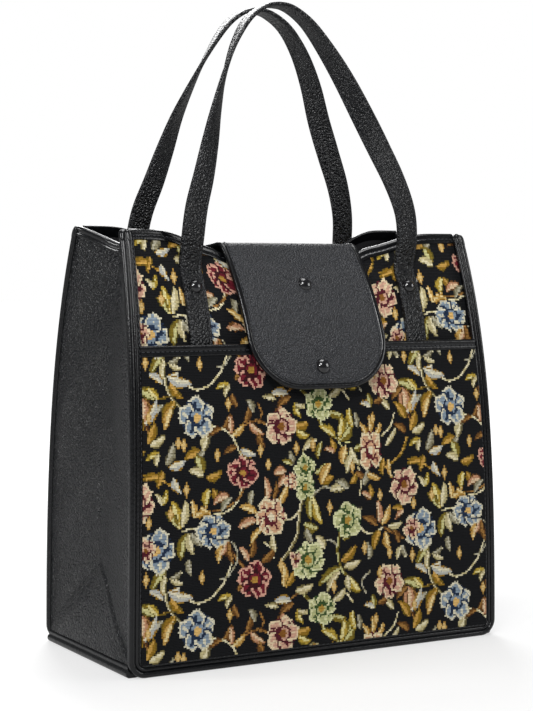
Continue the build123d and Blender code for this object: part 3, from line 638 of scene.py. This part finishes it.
def cloth(name, width_of, depth_at, rim, low, tall, cell_mm, facing, thickness, shift, node,
          coarse_below=0.0):
    """A wall of cloth: columns one stitch apart, rows that follow the sagging rim."""
    columns = int(round(2 * width_of(0.0) / cell_mm))
    rows = int(round((tall - low) / cell_mm))
    part = np.linspace(0, 1, rows + 1)
    keep = np.ones(rows + 1, bool)
    if coarse_below:
        hidden = part < (coarse_below - low) / (tall - low)
        keep = ~hidden | (np.arange(rows + 1) % 8 == 0)
    part = part[keep]
    side = np.linspace(-1, 1, columns + 1)
    x_low = side[:, None] * width_of(0.0)
    z = low + part[None, :] * (rim(x_low) - low)
    x = side[:, None] * width_of(z)
    y = depth_at(x, z)
    points = np.stack([x * -facing, y, z], axis=2)
    piece = soft_sheet(name, points, smooth=False)
    colours = bare_cells(columns, rows, cell_mm, shift).reshape(rows, columns, 3)
    colours = colours[np.nonzero(keep)[0][:-1]].reshape(-1, 3)
    layer = piece.data.color_attributes.new("weave", "FLOAT_COLOR", "CORNER")
    corners = np.ones((len(colours), 4, 4), np.float32)
    corners[:, :, :3] = colours[:, None]
    layer.data.foreach_set("color", corners.ravel())
    apply_modifier(piece, "SOLIDIFY", thickness=thickness * MM, offset=-1)
    layer = piece.data.color_attributes["weave"]
    shades = np.empty(len(layer.data) * 4, np.float32)
    layer.data.foreach_get("color", shades)
    shades = shades.reshape(-1, 4)
    shades[len(colours) * 4:, :3] = linear("#18171a")[:3]  # the reverse is backed in black
    layer.data.foreach_set("color", shades.ravel())
    bpy.ops.object.shade_smooth_by_angle(angle=math.radians(50))
    finish_piece(piece, TAPESTRY, "bag", "tapestry", node)
    2 * width_of(0.0) * MM


CLOTH_EDGE, POCKET_TOP = 10.1, 255.5     # in from the bag's outline, up from the floor


def inner_width(z):
    return half_width(z) - CLOTH_EDGE


def pocket_rim(x):
    return POCKET_TOP + 0 * x


cloth("pocket_cloth", inner_width, pocket_y, pocket_rim, CLOTH_EDGE, POCKET_TOP, 1.3, -1,
      1.6, (12, 12), "pocket_panel")
cloth("front_cloth", inner_width, front_y, lambda x: front_rim(x) - 3, CLOTH_EDGE, 347.0,
      1.45, -1, 1.8, (12, 12), "front_panel", coarse_below=238)
cloth("back_cloth", inner_width, back_y, lambda x: back_rim(x) - 3.5, CLOTH_EDGE, 352.0,
      1.55, 1, 1.8, (40, 12), "back_panel")

# ------------------------------------------------------------------ lining
# Plain black twill glued to the inside of the walls, gussets and bottom board.
LINING, tree, shader, here = new_material("black_cotton_twill", 0.85, "#17171a")
rows_of_twill = add_node(tree, "ShaderNodeTexWave", [("Vector", here)], bands_direction="DIAGONAL",
                         Scale=260.0)
add_node(tree, "ShaderNodeBump", [("Height", rows_of_twill.outputs["Fac"])],
         [("Normal", shader.inputs["Normal"])], Strength=0.5, Distance=0.2 * MM)
# Painted shade: the twill's colour is darker in the low bands of its weave than on the raised ones,
# following its bump
twill_groove_shading = add_node(tree, "ShaderNodeValToRGB", [("Fac", rows_of_twill.outputs["Fac"])],
                      [("Color", shader.inputs["Base Color"])])
twill_groove_shading.color_ramp.elements[0].color = linear("#0f0f11")
twill_groove_shading.color_ramp.elements[1].color = linear("#232327")

for name, depth_at, rim, inward in (("front", front_y, front_rim, 1), ("back", back_y, back_rim, -1)):
    side = np.linspace(-1, 1, 61)[:, None]
    part = np.linspace(0, 1, 61)[None, :]
    z = 12 + part * (rim(side * 160) - 1.5 - 12)
    x = side * (half_width(z) - 11.2)
    y = depth_at(x, z) + inward * 2.0
    points = np.stack([x * -inward, y + inward * 0.7, z], axis=2)
    piece = soft_sheet(name + "_lining_cloth", points[::-1], 0.6)
    finish_piece(piece, LINING, "bag", "lining_cloth", "lining_" + name)

side = np.linspace(-159, 159, 41)[:, None] + np.zeros((1, 21))
run = np.linspace(-71, 75, 21)[None, :] + np.zeros((41, 1))
swell = 0.15 * np.cos(side / 40) * np.cos(run / 25)
piece = soft_sheet("floor_lining_cloth", np.stack([side, run, 5.15 + swell], axis=2), 0.6)
finish_piece(piece, LINING, "bag", "lining_cloth", "lining_floor")

BOARD, tree, shader, here = new_material("stiff_grey_polypropylene_board", 0.55, "#4a4640")
specks = add_node(tree, "ShaderNodeTexNoise", [("Vector", here)], Scale=400.0)
add_node(tree, "ShaderNodeBump", [("Height", specks.outputs["Fac"])],
         [("Normal", shader.inputs["Normal"])], Strength=0.2, Distance=0.2 * MM)
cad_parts["base_board"].data.materials.clear()
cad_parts["base_board"].data.materials.append(BOARD)

# ------------------------------------------------------------------ gussets
# Pebbled leather sides, folded in down the middle. Two pressed creases run from the lower
# corners up to the fold, and the hide slumps in soft diagonal swells above them.
CREASE_TOP = 76.0


def gusset_relief(y, z):
    """How far the creases and swells stand out of the plain fold."""
    half = DEEP / 2 - lean(z)
    slope = (half - 9) / (CREASE_TOP - 13)
    off = (half - 9) - slope * (z - 13) - np.abs(y)
    crease = 1.5 * np.exp(-((off / 2.4) ** 2)) * (z < CREASE_TOP + 3)
    groove = -0.9 * np.exp(-(((off + 4.4) / 2.2) ** 2)) * (z < CREASE_TOP + 3)
    flat = 2.4 * np.clip(off / 22, 0, 1) * np.clip((CREASE_TOP - z) / 30, 0, 1)
    swell = 1.9 * np.exp(-(((z - 285 + 1.25 * np.abs(y + 8)) / 26) ** 2))
    dimple = -1.6 * np.exp(-(((z - 318 + 1.1 * np.abs(y + 4)) / 17) ** 2))
    ripple = 0.7 * np.sin(z / 13 + np.abs(y) / 9) * np.exp(-(((z - 200) / 120) ** 2))
    fold = -1.2 * np.exp(-((y / 5) ** 2)) * np.clip((z - CREASE_TOP) / 40, 0, 1)
    ease = np.clip((half - 8 - np.abs(y)) / 12, 0, 1)
    return (crease + groove + flat) * np.clip(ease * 3, 0, 1) + (swell + dimple + ripple + fold) * ease


for hand, sign in (("left", -1), ("right", 1)):
    part = np.linspace(0, 1, 190)[None, :]
    side = np.linspace(-1, 1, 110)[:, None]
    z = 11 + part * (gusset_rim(side * 47) - 1 - 11)
    low_y, high_y = -(DEEP / 2 - lean(z)) + 5.2, (DEEP / 2 - lean(z)) - 4.0
    y = low_y + (side + 1) / 2 * (high_y - low_y)
    x = gusset_x(y, z) + gusset_relief(y, z) - 0.4
    points = np.stack([sign * x, y, z], axis=2)
    piece = soft_sheet(hand + "_gusset_hide", points if sign > 0 else points[::-1], 1.8)
    finish_piece(piece, PEBBLED, "bag", "grained_leather", hand + "_gusset")
    inner = np.stack([sign * (x - 2.3), y, z - 0.5], axis=2)[::3, ::4]
    piece = soft_sheet(hand + "_gusset_lining_cloth", inner[::-1] if sign > 0 else inner, 0.5)
    finish_piece(piece, LINING, "bag", "lining_cloth", hand + "_gusset_lining")

# ------------------------------------------------------------------ bottom
# One flat piece of the same leather under the board, held all round by the pipings.
side = np.linspace(-163.5, 163.5, 60)[:, None] + np.zeros((1, 30))
run = np.linspace(-76, 80, 30)[None, :] + np.zeros((60, 1))
under = 0.5 * np.exp(-((side / 150) ** 6)) * np.exp(-((run / 66) ** 6))
piece = soft_sheet("bottom_hide", np.stack([side[:, ::-1], run[:, ::-1], under], axis=2)[::-1], 0)
apply_modifier(piece, "SOLIDIFY", thickness=0.0018, offset=1)
finish_piece(piece, PEBBLED, "bag", "grained_leather", "base_panel")

# ------------------------------------------------------------------ edge pipings
# Smooth leather turned over a cord and sewn down: a round roll on the corner, a smaller one
# beside it and a flat stitched lip, all round each wall and along the lower side edges.
PIPING_RING = flowing([
    (0.0, 3.4), (0.2, 1.4), (1.3, 0.0), (2.9, -0.5), (4.5, 0.0), (5.5, 1.5), (6.3, 0.6),
    (7.5, 0.0), (8.8, 0.5), (9.4, 1.6), (10.0, 1.0), (11.9, 1.0), (12.3, 1.4), (12.2, 3.0),
    (11.0, 9.0), (6.5, 9.4), (1.8, 9.2), (1.3, 7.6), (1.2, 6.9), (0.5, 6.0), (0.0, 5.0),
], 3, closed=True)
BEND = 14.0


def wall_outline(top):
    """Points and inward directions down one side, along the foot and up the other."""
    down = np.linspace(top, BEND, 60)
    turn = np.linspace(0, np.pi / 2, 12)[1:-1]
    foot = np.linspace(WIDE / 2 - BEND, 0, 40)
    x = np.r_[half_width(down), WIDE / 2 - BEND + BEND * np.cos(turn), foot]
    z = np.r_[down, BEND - BEND * np.sin(turn), 0 * foot]
    nx = np.r_[-np.ones(60), -np.cos(turn), 0 * foot]
    nz = np.r_[np.zeros(60), np.sin(turn), np.ones(40)]
    x, nx = np.r_[x, -x[-2::-1]], np.r_[nx, -nx[-2::-1]]
    return x, np.r_[z, z[-2::-1]], nx, np.r_[nz, nz[-2::-1]]


def piping_rings(x, z, nx, nz, facing, deep):
    """The piping's section at each point of a wall's outline."""
    across = PIPING_RING[None, :, 0] * 0.86
    into = PIPING_RING[None, :, 1] * deep
    px = x[:, None] + nx[:, None] * across
    pz = z[:, None] + nz[:, None] * across
    if facing < 0:
        py = -DEEP / 2 + lean(pz) + into
    else:
        py = DEEP / 2 - 0.5 - lean(pz) - into
    return np.stack([px, py, pz], axis=2)


for name, facing, tall, deep in (("front", -1, FRONT_TALL, 0.78), ("back", 1, BACK_TALL, 0.6)):
    x, z, nx, nz = wall_outline(tall - 8)
    piece = swept(name + "_edge_roll", piping_rings(x, z, nx, nz, facing, deep))
    finish_piece(piece, SMOOTH_HIDE, "bag", "smooth_leather", name + "_edge_piping")
    lip_x, lip_z = x + nx * 9.5, z + nz * 9.5
    face = -DEEP / 2 + lean(lip_z) + 0.9 if facing < 0 else DEEP / 2 - 0.5 - lean(lip_z) - 0.6
    line = np.stack([lip_x, face, lip_z], axis=1)
    seam(name + "_edge_stitches", line, [(0, facing, 0)] * len(line), "bag", "smooth_leather")
    # A short cap of folded leather covers each upper end, a little larger than the piping
    for hand, sign in (("left", -1), ("right", 1)):
        rise = np.array([0.0, 0.4, 3.0, 5.5, 7.2, 8.3, 8.8])
        size = np.array([0.98, 1.05, 1.06, 1.04, 0.95, 0.80, 0.5])
        z = tall - 9.5 + rise
        rings = []
        for height, grown in zip(z, size):
            ring = piping_rings(np.array([sign * half_width(height)]), np.array([height]),
                                np.array([-1.0 * sign]), np.array([0.0]), facing, deep)[0]
            middle = ring.mean(axis=0)
            rings.append(middle + (ring - middle) * np.array([grown, grown, 1]))
        rings = np.array(rings)
        rings[:, :, 2] = z[:, None]
        piece = swept(f"{name}_{hand}_corner_cap", rings)
        finish_piece(piece, SMOOTH_HIDE, "bag", "smooth_leather", f"{name}_{hand}_rim_cap")

FOOT_RING = flowing([
    (3.4, 0.0), (1.3, 0.5), (0.1, 2.6), (0.5, 4.9), (1.7, 5.9), (1.3, 7.0), (1.6, 9.0),
    (2.6, 10.0), (2.2, 10.8), (2.4, 11.9), (3.6, 12.2), (6.0, 11.0), (11.6, 3.2), (11.8, 0.8),
    (8.0, 0.0),
], 3, closed=True)
for hand, sign in (("left", -1), ("right", 1)):
    run = np.linspace(-DEEP / 2 + 7, DEEP / 2 - 4, 50)
    rings = np.stack([sign * (WIDE / 2 - FOOT_RING[None, :, 0]) + 0 * run[:, None],
                      run[:, None] + 0 * FOOT_RING[None, :, 0],
                      FOOT_RING[None, :, 1] + 0 * run[:, None]], axis=2)
    piece = swept(hand + "_foot_roll", rings)
    finish_piece(piece, SMOOTH_HIDE, "bag", "smooth_leather", hand + "_base_piping")

# ------------------------------------------------------------------ rim bindings
# A strip of smooth leather folded over each raw top edge and sewn through: a round top roll
# over a thin lower ridge.
RIM_RING = flowing([
    (-0.9, -3.4), (-1.3, -2.2), (-1.2, -0.9), (0.0, 0.0), (1.4, 0.25), (2.8, 0.0), (3.9, -1.0),
    (4.0, -3.0), (3.8, -8.0), (3.0, -8.3), (0.2, -8.3), (-0.9, -8.1), (-1.25, -6.8),
    (-1.15, -5.4), (-0.5, -4.4),
], 3, closed=True)


def bound_edge(name, along, z, place, node):
    """A folded binding; place gives a point for a spot along the edge, a depth and a height."""
    along, z = along[:, None], z[:, None]
    rings = place(along, RIM_RING[None, :, 0], z + RIM_RING[None, :, 1])
    piece = swept(name, rings)
    return finish_piece(piece, SMOOTH_HIDE, "bag", "smooth_leather", node)


def on_wall(depth_at, inward):
    """Points a depth inside a wall's outer face."""
    def place(x, into, z):
        return np.stack([x + 0 * z, depth_at(x, z) + inward * into, z + 0 * x], axis=-1)
    return place


x = np.linspace(-1, 1, 120) * (half_width(345.0) - 9.2)
for name, depth_at, rim, facing in (("front", front_y, front_rim, -1), ("back", back_y, back_rim, 1)):
    place = on_wall(depth_at, -facing)
    bound_edge(name + "_rim_strip", x, rim(x), place, name + "_rim_binding")
    seam(name + "_rim_stitches", place(x, -0.75, rim(x) - 4.6), [(0, facing, 0)] * len(x), "bag",
         "smooth_leather")
x = np.linspace(-1, 1, 120) * (half_width(256.0) - 9.4)
z = 256.5 + 0 * x
place = on_wall(pocket_y, 1)
bound_edge("pocket_top_strip", x, z, lambda x, into, z: place(x, into * 0.8, z), "pocket_binding")
seam("pocket_top_stitches", place(x, -0.6, z - 4.6), [(0, -1, 0)] * len(x), "bag",
     "smooth_leather")


def on_gusset(sign):
    """Points a depth inside a gusset's outer face."""
    def place(y, into, z):
        face = gusset_x(y, z) + gusset_relief(y, z) - 0.4
        return np.stack([sign * (face - into), y + 0 * z, z + 0 * y], axis=-1)
    return place


y = np.linspace(-44.5, 46, 60)
for hand, sign in (("left", -1), ("right", 1)):
    bound_edge(hand + "_gusset_strip", y, gusset_rim(y), on_gusset(sign),
               hand + "_gusset_rim_binding")

# ------------------------------------------------------------------ strap handles
# Each handle is one strip of pebbled leather, turned at its edges and sewn twice. Both ends
# are sewn flat on a wall and riveted; above the cross seam the strip stands free and twists
# so that it lies flat in the hand.
STRAP_RING = flowing([
    (-10.0, 0.0), (-9.7, 1.2), (-8.9, 1.6), (-7.9, 1.45), (-6.9, 1.75), (-3.0, 2.0), (3.0, 2.0),
    (6.9, 1.75), (7.9, 1.45), (8.9, 1.6), (9.7, 1.2), (10.0, 0.0), (9.7, -1.2), (8.9, -1.6),
    (7.9, -1.45), (6.9, -1.7), (0.0, -1.8), (-6.9, -1.7), (-7.9, -1.45), (-8.9, -1.6),
    (-9.7, -1.2),
], 2, closed=True)
LEG_X = (103, 100, 91.5, 81, 70, 57.5, 44, 29, 13, 0)
LEG_Z = (342, 366, 392, 420, 449, 479, 505, 526, 537.5, 540)
LEG_TWIST = (0, 2, 10, 24, 44, 62, 76, 86, 90, 90)
LEG_Y = {"front": (52, 53, 49.5, 41, 31.5, 22, 14, 9, 7, 6.7),
         "back": (52.5, 47.5, 42, 41, 39.5, 33, 29, 28.5, 30, 30.5)}
SEAM_Z, STRAP_X = 319.0, 103.0
TAB_ROWS, SEWN_ROWS = 6, 45      # rows of the line on a sewn end; points of it that lie sewn


def strap_line(name, depth_at, facing, foot):
    """Centre points and twists from one sewn foot over the top to the other."""
    tab_z = np.linspace(foot, SEAM_Z, TAB_ROWS)
    tab_y = depth_at(np.full(TAB_ROWS, STRAP_X), tab_z) + facing * 1.8
    rows = [(-STRAP_X, y, z, 0) for y, z in zip(tab_y, tab_z)]
    rows += [(-x, facing * y, z, turn) for x, y, z, turn in zip(LEG_X, LEG_Y[name], LEG_Z, LEG_TWIST)]
    rows += [(-x, y, z, turn) for x, y, z, turn in rows[-2::-1]]
    return flowing(rows, 7)


def strap_frames(line, facing):
    """The strap's run, width and outward directions at each point of its line."""
    centre, twist = line[:, :3], np.radians(line[:, 3:4])
    run = np.gradient(centre, axis=0)
    run /= np.linalg.norm(run, axis=1)[:, None]
    flat = np.array([[0.0, facing, 0.0]]) - run * (run[:, 1:2] * facing)
    flat /= np.linalg.norm(flat, axis=1)[:, None]
    across = np.cross(run, flat)
    wide = across * np.cos(twist) - flat * np.sin(twist)
    out = flat * np.cos(twist) + across * np.sin(twist)
    return centre, wide, out


for name, depth_at, facing, foot in (("front", front_y, -1, 243.0), ("back", back_y, 1, 262.0)):
    centre, wide, out = strap_frames(strap_line(name, depth_at, facing, foot), facing)
    rings = (centre[:, None] + wide[:, None] * STRAP_RING[None, :, 0:1]
             + out[:, None] * STRAP_RING[None, :, 1:2])
    strap = swept(name + "_strap", rings)
    finish_piece(strap, PEBBLED, None, "grained_leather", name + "_handle_strap",
                 name + "_left_strap_tab", name + "_right_strap_tab")
    pieces = [strap]
    for side, place in (("left", -7.9), ("right", 7.9)):
        for face, level in (("outer", 1.35), ("inner", -1.35)):
            line = centre + wide * place + out * level
            normal = out if level > 0 else -out
            keep = slice(None) if level > 0 else slice(SEWN_ROWS, len(line) - SEWN_ROWS)
            pieces.append(seam(f"{name}_strap_{side}_{face}_stitches", line[keep], normal[keep],
                               None, "grained_leather"))
    for piece in pieces:
        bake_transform(piece)
    # Three crossing stitches hold the strap where it leaves the wall
    for hand, sign in (("left", -1), ("right", 1)):
        level = SEAM_Z - 2.5
        x = sign * STRAP_X + np.linspace(-8.0, 8.0, 9)
        y = depth_at(x, np.full(9, level)) + facing * 3.45
        line = np.stack([x, y, np.full(9, level)], axis=1)
        seam(f"{name}_{hand}_cross_stitches", line, [(0, facing, 0)] * 9, "bag",
             "grained_leather", pitch=3.4, long=2.7)

# Domed rivets in black enamelled brass hold each sewn end
ENAMEL, tree, shader, here = new_material("black_enamelled_brass", 0.17, "#0d0d10")
shader.inputs["Coat Weight"].default_value = 0.5
scuffs = add_node(tree, "ShaderNodeTexNoise", [("Vector", here)], Scale=700.0, Detail=3.0)
add_node(tree, "ShaderNodeMapRange", [("Value", scuffs.outputs["Fac"])],
         [("Result", shader.inputs["Roughness"])], To_Min=0.12, To_Max=0.28)
for node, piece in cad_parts.items():
    if "rivet" in node or "snap" in node:
        piece.data.materials.clear()
        piece.data.materials.append(ENAMEL)

HEAD_PROFILE = [(0.0, 0.62), (0.35, 0.57), (0.65, 0.44), (0.87, 0.26), (0.98, 0.10), (1.0, 0.0),
                (0.96, -0.10), (0.0, -0.12)]


def domed_head(name, at, out, across, body, node):
    """A round domed head turned about its axis, standing on a surface."""
    out = np.asarray(out, float) / np.linalg.norm(out)
    east = np.cross((0.0, 0.0, 1.0), out)
    east /= np.linalg.norm(east)
    north = np.cross(out, east)
    turned = flowing(HEAD_PROFILE, 3)
    angle = np.linspace(0, 2 * np.pi, 33)
    ring = turned[None, :, 0:1] * (np.cos(angle)[:, None, None] * east
                                   + np.sin(angle)[:, None, None] * north)
    points = np.asarray(at) + across / 2 * (ring + turned[None, :, 1:2] * out)
    piece = soft_sheet(name, points, smooth=False)
    bpy.ops.object.mode_set(mode="EDIT")
    bpy.ops.mesh.select_all(action="SELECT")
    bpy.ops.mesh.remove_doubles(threshold=0.000005)
    bpy.ops.mesh.normals_make_consistent(inside=False)
    bpy.ops.object.mode_set(mode="OBJECT")
    bpy.ops.object.shade_smooth_by_angle(angle=math.radians(60))
    return finish_piece(piece, ENAMEL, body, "black_metal", node)


RIVET_Z, RIVET_HEAD, SNAP_HEAD = 301.5, 10.8, 12.3
for name, depth_at, facing in (("front", front_y, -1), ("back", back_y, 1)):
    for hand, x in (("left", -STRAP_X), ("right", STRAP_X)):
        z = RIVET_Z
        slope_x = depth_at(x + 0.5, z) - depth_at(x - 0.5, z)
        slope_z = depth_at(x, z + 0.5) - depth_at(x, z - 0.5)
        out = np.array((-slope_x, 1, -slope_z)) * facing
        out = out / np.linalg.norm(out)
        at = np.array((x, depth_at(x, z), z)) + out * (3.75 * abs(out[1]) + 0.9)
        domed_head(f"{name}_{hand}_rivet_head", at, out, RIVET_HEAD, "bag",
                   f"{name}_{hand}_rivet")

# ------------------------------------------------------------------ flap
# A tongue of fine-grained leather sewn to the back wall. It bends over both rims and hangs
# down the front, where two snaps hold it; a turned edge and a line of stitches run round it.
TIP, BELLY, SHOULDER = np.array((-87.0, 219.4)), np.array((-68.6, 275.0)), np.array((-30.5, 334.0))
HINGE_Y, FALL, BEND_RADIUS = 37.4, math.radians(6), 10.0
HALF_WIDE, CORNER = 65.5, 45


def circle_through(a, b, c):
    """Centre and radius of the circle through three points."""
    rows = 2 * np.array([b - a, c - a])
    centre = np.linalg.solve(rows, [b @ b - a @ a, c @ c - a @ a])
    return centre, np.linalg.norm(a - centre)


def flap_profile():
    """The flap's middle layer seen from the side, from its hinge forward to its tip."""
    centre, radius = circle_through(TIP, BELLY, SHOULDER)
    first, last = (math.atan2(*(p - centre)[::-1]) for p in (SHOULDER, TIP))
    if last - first > math.pi:
        last -= 2 * math.pi
    if first - last > math.pi:
        last += 2 * math.pi
    sweep = np.linspace(first, last, 70)
    front = centre + radius * np.stack([np.cos(sweep), np.sin(sweep)], axis=1)
    rise = front[0] - front[1]
    slope = math.atan2(rise[1], rise[0])
    inside = SHOULDER + BEND_RADIUS * np.array((math.cos(slope - math.pi / 2),
                                                math.sin(slope - math.pi / 2)))
    turns = np.linspace(-FALL, slope, 12) + math.pi / 2
    bend = inside + BEND_RADIUS * np.stack([np.cos(turns), np.sin(turns)], axis=1)
    reach = HINGE_Y - bend[0, 0]
    run = np.linspace(1, 0, 24)[:, None] * np.array((reach, -reach * math.tan(FALL))) + bend[0]
    return np.concatenate([run[:-1], bend, front[1:]])


profile = flap_profile()
distance = np.r_[0, np.cumsum(np.linalg.norm(np.diff(profile, axis=0), axis=1))]
LENGTH = distance[-1]
slopes = np.gradient(profile, axis=0)
slopes /= np.linalg.norm(slopes, axis=1)[:, None]
# Forward along the flap, a quarter turn back gives the side that faces out
faces_out = np.stack([slopes[:, 1], -slopes[:, 0]], axis=1)


def on_flap(x, s, lift):
    """A point at x and s along the flap, a height over its middle layer."""
    s = np.clip(s, 0, LENGTH)
    y, z = (np.interp(s, distance, profile[:, i]) for i in (0, 1))
    ny, nz = (np.interp(s, distance, faces_out[:, i]) for i in (0, 1))
    return np.stack([x + 0 * s, y + ny * lift, z + nz * lift], axis=-1)


def flap_half_width(s, inset):
    """Half the flap's width, rounding in at its tip."""
    corner, left = CORNER - inset, LENGTH - inset - s
    inside = np.clip(corner - left, 0, corner)
    return HALF_WIDE - inset - corner + np.sqrt(np.maximum(corner ** 2 - inside ** 2, 0))


s = np.r_[np.linspace(0, LENGTH - 50, 80),
          LENGTH - 3 - 47 * np.cos(np.linspace(0, np.pi / 2, 40))[1:]]
side = np.linspace(-1, 1, 81)[:, None]
x = side * flap_half_width(s[None, :], 3.0)
puff = 0.25 * np.cos(side * np.pi / 2) * np.sin(s[None, :] / LENGTH * np.pi)
points = on_flap(x, s[None, :] + 0 * x, 1.25 + puff)
piece = soft_sheet("flap_hide", points[::-1], 2.5)
finish_piece(piece, FLAP_HIDE, None, "flap_leather", "flap_panel")
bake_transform(piece)


def flap_outline(inset, start):
    """x and s down one side of the flap, round its tip and back."""
    corner, flat = CORNER - inset, HALF_WIDE - CORNER
    straight = np.linspace(start, LENGTH - CORNER, 70)
    turn = np.linspace(0, np.pi / 2, 26)[1:]
    x = np.r_[HALF_WIDE - inset + 0 * straight, flat + corner * np.cos(turn),
              np.linspace(flat, 0, 9)[1:]]
    s = np.r_[straight, LENGTH - CORNER + corner * np.sin(turn), np.full(8, LENGTH - inset)]
    return np.r_[x, -x[-2::-1]], np.r_[s, s[-2::-1]]


x, s = flap_outline(2.25, 3.0)
centre = on_flap(x, s, 0.0)
outward = on_flap(x, s, 1.0) - centre
run = np.gradient(centre, axis=0)
run /= np.linalg.norm(run, axis=1)[:, None]
beside = np.cross(run, outward)
# The edge is turned over a thin filler, so it stands a little proud of the hide
EDGE_RING = flowing([
    (-2.3, 0.0), (-2.0, 1.3), (-0.6, 2.0), (1.0, 1.95), (2.2, 1.25), (2.6, 0.3), (2.4, -1.3),
    (1.0, -1.8), (-0.8, -1.8), (-2.0, -1.2),
], 2, closed=True)
inwards = 1.0 if (beside[0] @ np.array((1, 0, 0))) * x[0] < 0 else -1.0
rings = (centre[:, None] + inwards * beside[:, None] * EDGE_RING[None, :, 0:1]
         + outward[:, None] * EDGE_RING[None, :, 1:2])
piece = swept("flap_turned_edge", rings)
finish_piece(piece, SMOOTH_HIDE, None, "smooth_leather", "flap_edge_binding")
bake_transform(piece)
FLAP_SEAM_IN, FLAP_START = 6.2, 3.0
x, s = flap_outline(FLAP_SEAM_IN, FLAP_START)
line = on_flap(x, s, 1.6)
piece = seam("flap_stitches", line, on_flap(x, s, 2.0) - on_flap(x, s, 1.0), None, "flap_leather")
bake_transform(piece)

for name, level in (("upper", 304.0), ("lower", 237.5)):
    s = np.interp(-level, -profile[30:, 1], distance[30:])
    cap = on_flap(np.zeros(1), np.array([s]), 1.3)[0]
    out = on_flap(np.zeros(1), np.array([s]), 2.3)[0] - cap
    domed_head(name + "_snap_head", cap, out, SNAP_HEAD, "flap", name + "_snap_cap")

# The flap's end is sewn flat on the back wall, just under the rim binding
TONGUE_HALF, TONGUE_FOOT, TONGUE_TOP, SEAM_IN = 61, 289, 331, 4
side = np.linspace(-TONGUE_HALF, TONGUE_HALF, 41)[:, None]
height = np.linspace(TONGUE_FOOT, TONGUE_TOP, 24)[None, :]
y = back_y(side, height) + 2.9
near = np.clip((height - 322) / 9, 0, 1)
y = y * (1 - near) + (HINGE_Y + 1.0) * near
points = np.stack([-side + 0 * height, y, height + 0 * side], axis=2)
piece = soft_sheet("flap_sewn_tongue", points, 2.6)
finish_piece(piece, FLAP_HIDE, "bag", "flap_leather", "flap_sewn_end")
across, low = float(TONGUE_HALF - SEAM_IN), float(TONGUE_FOOT + SEAM_IN)
edge_x = np.r_[np.full(12, across), np.linspace(across, -across, 40)[1:-1], np.full(12, -across)]
edge_z = np.r_[np.linspace(325, low, 12), np.full(38, low), np.linspace(low, 325, 12)]
line = np.stack([edge_x, back_y(edge_x, edge_z) + 3.0, edge_z], axis=1)
seam("flap_sewn_stitches", line, [(0, 1, 0.3)] * len(line), "bag", "flap_leather")
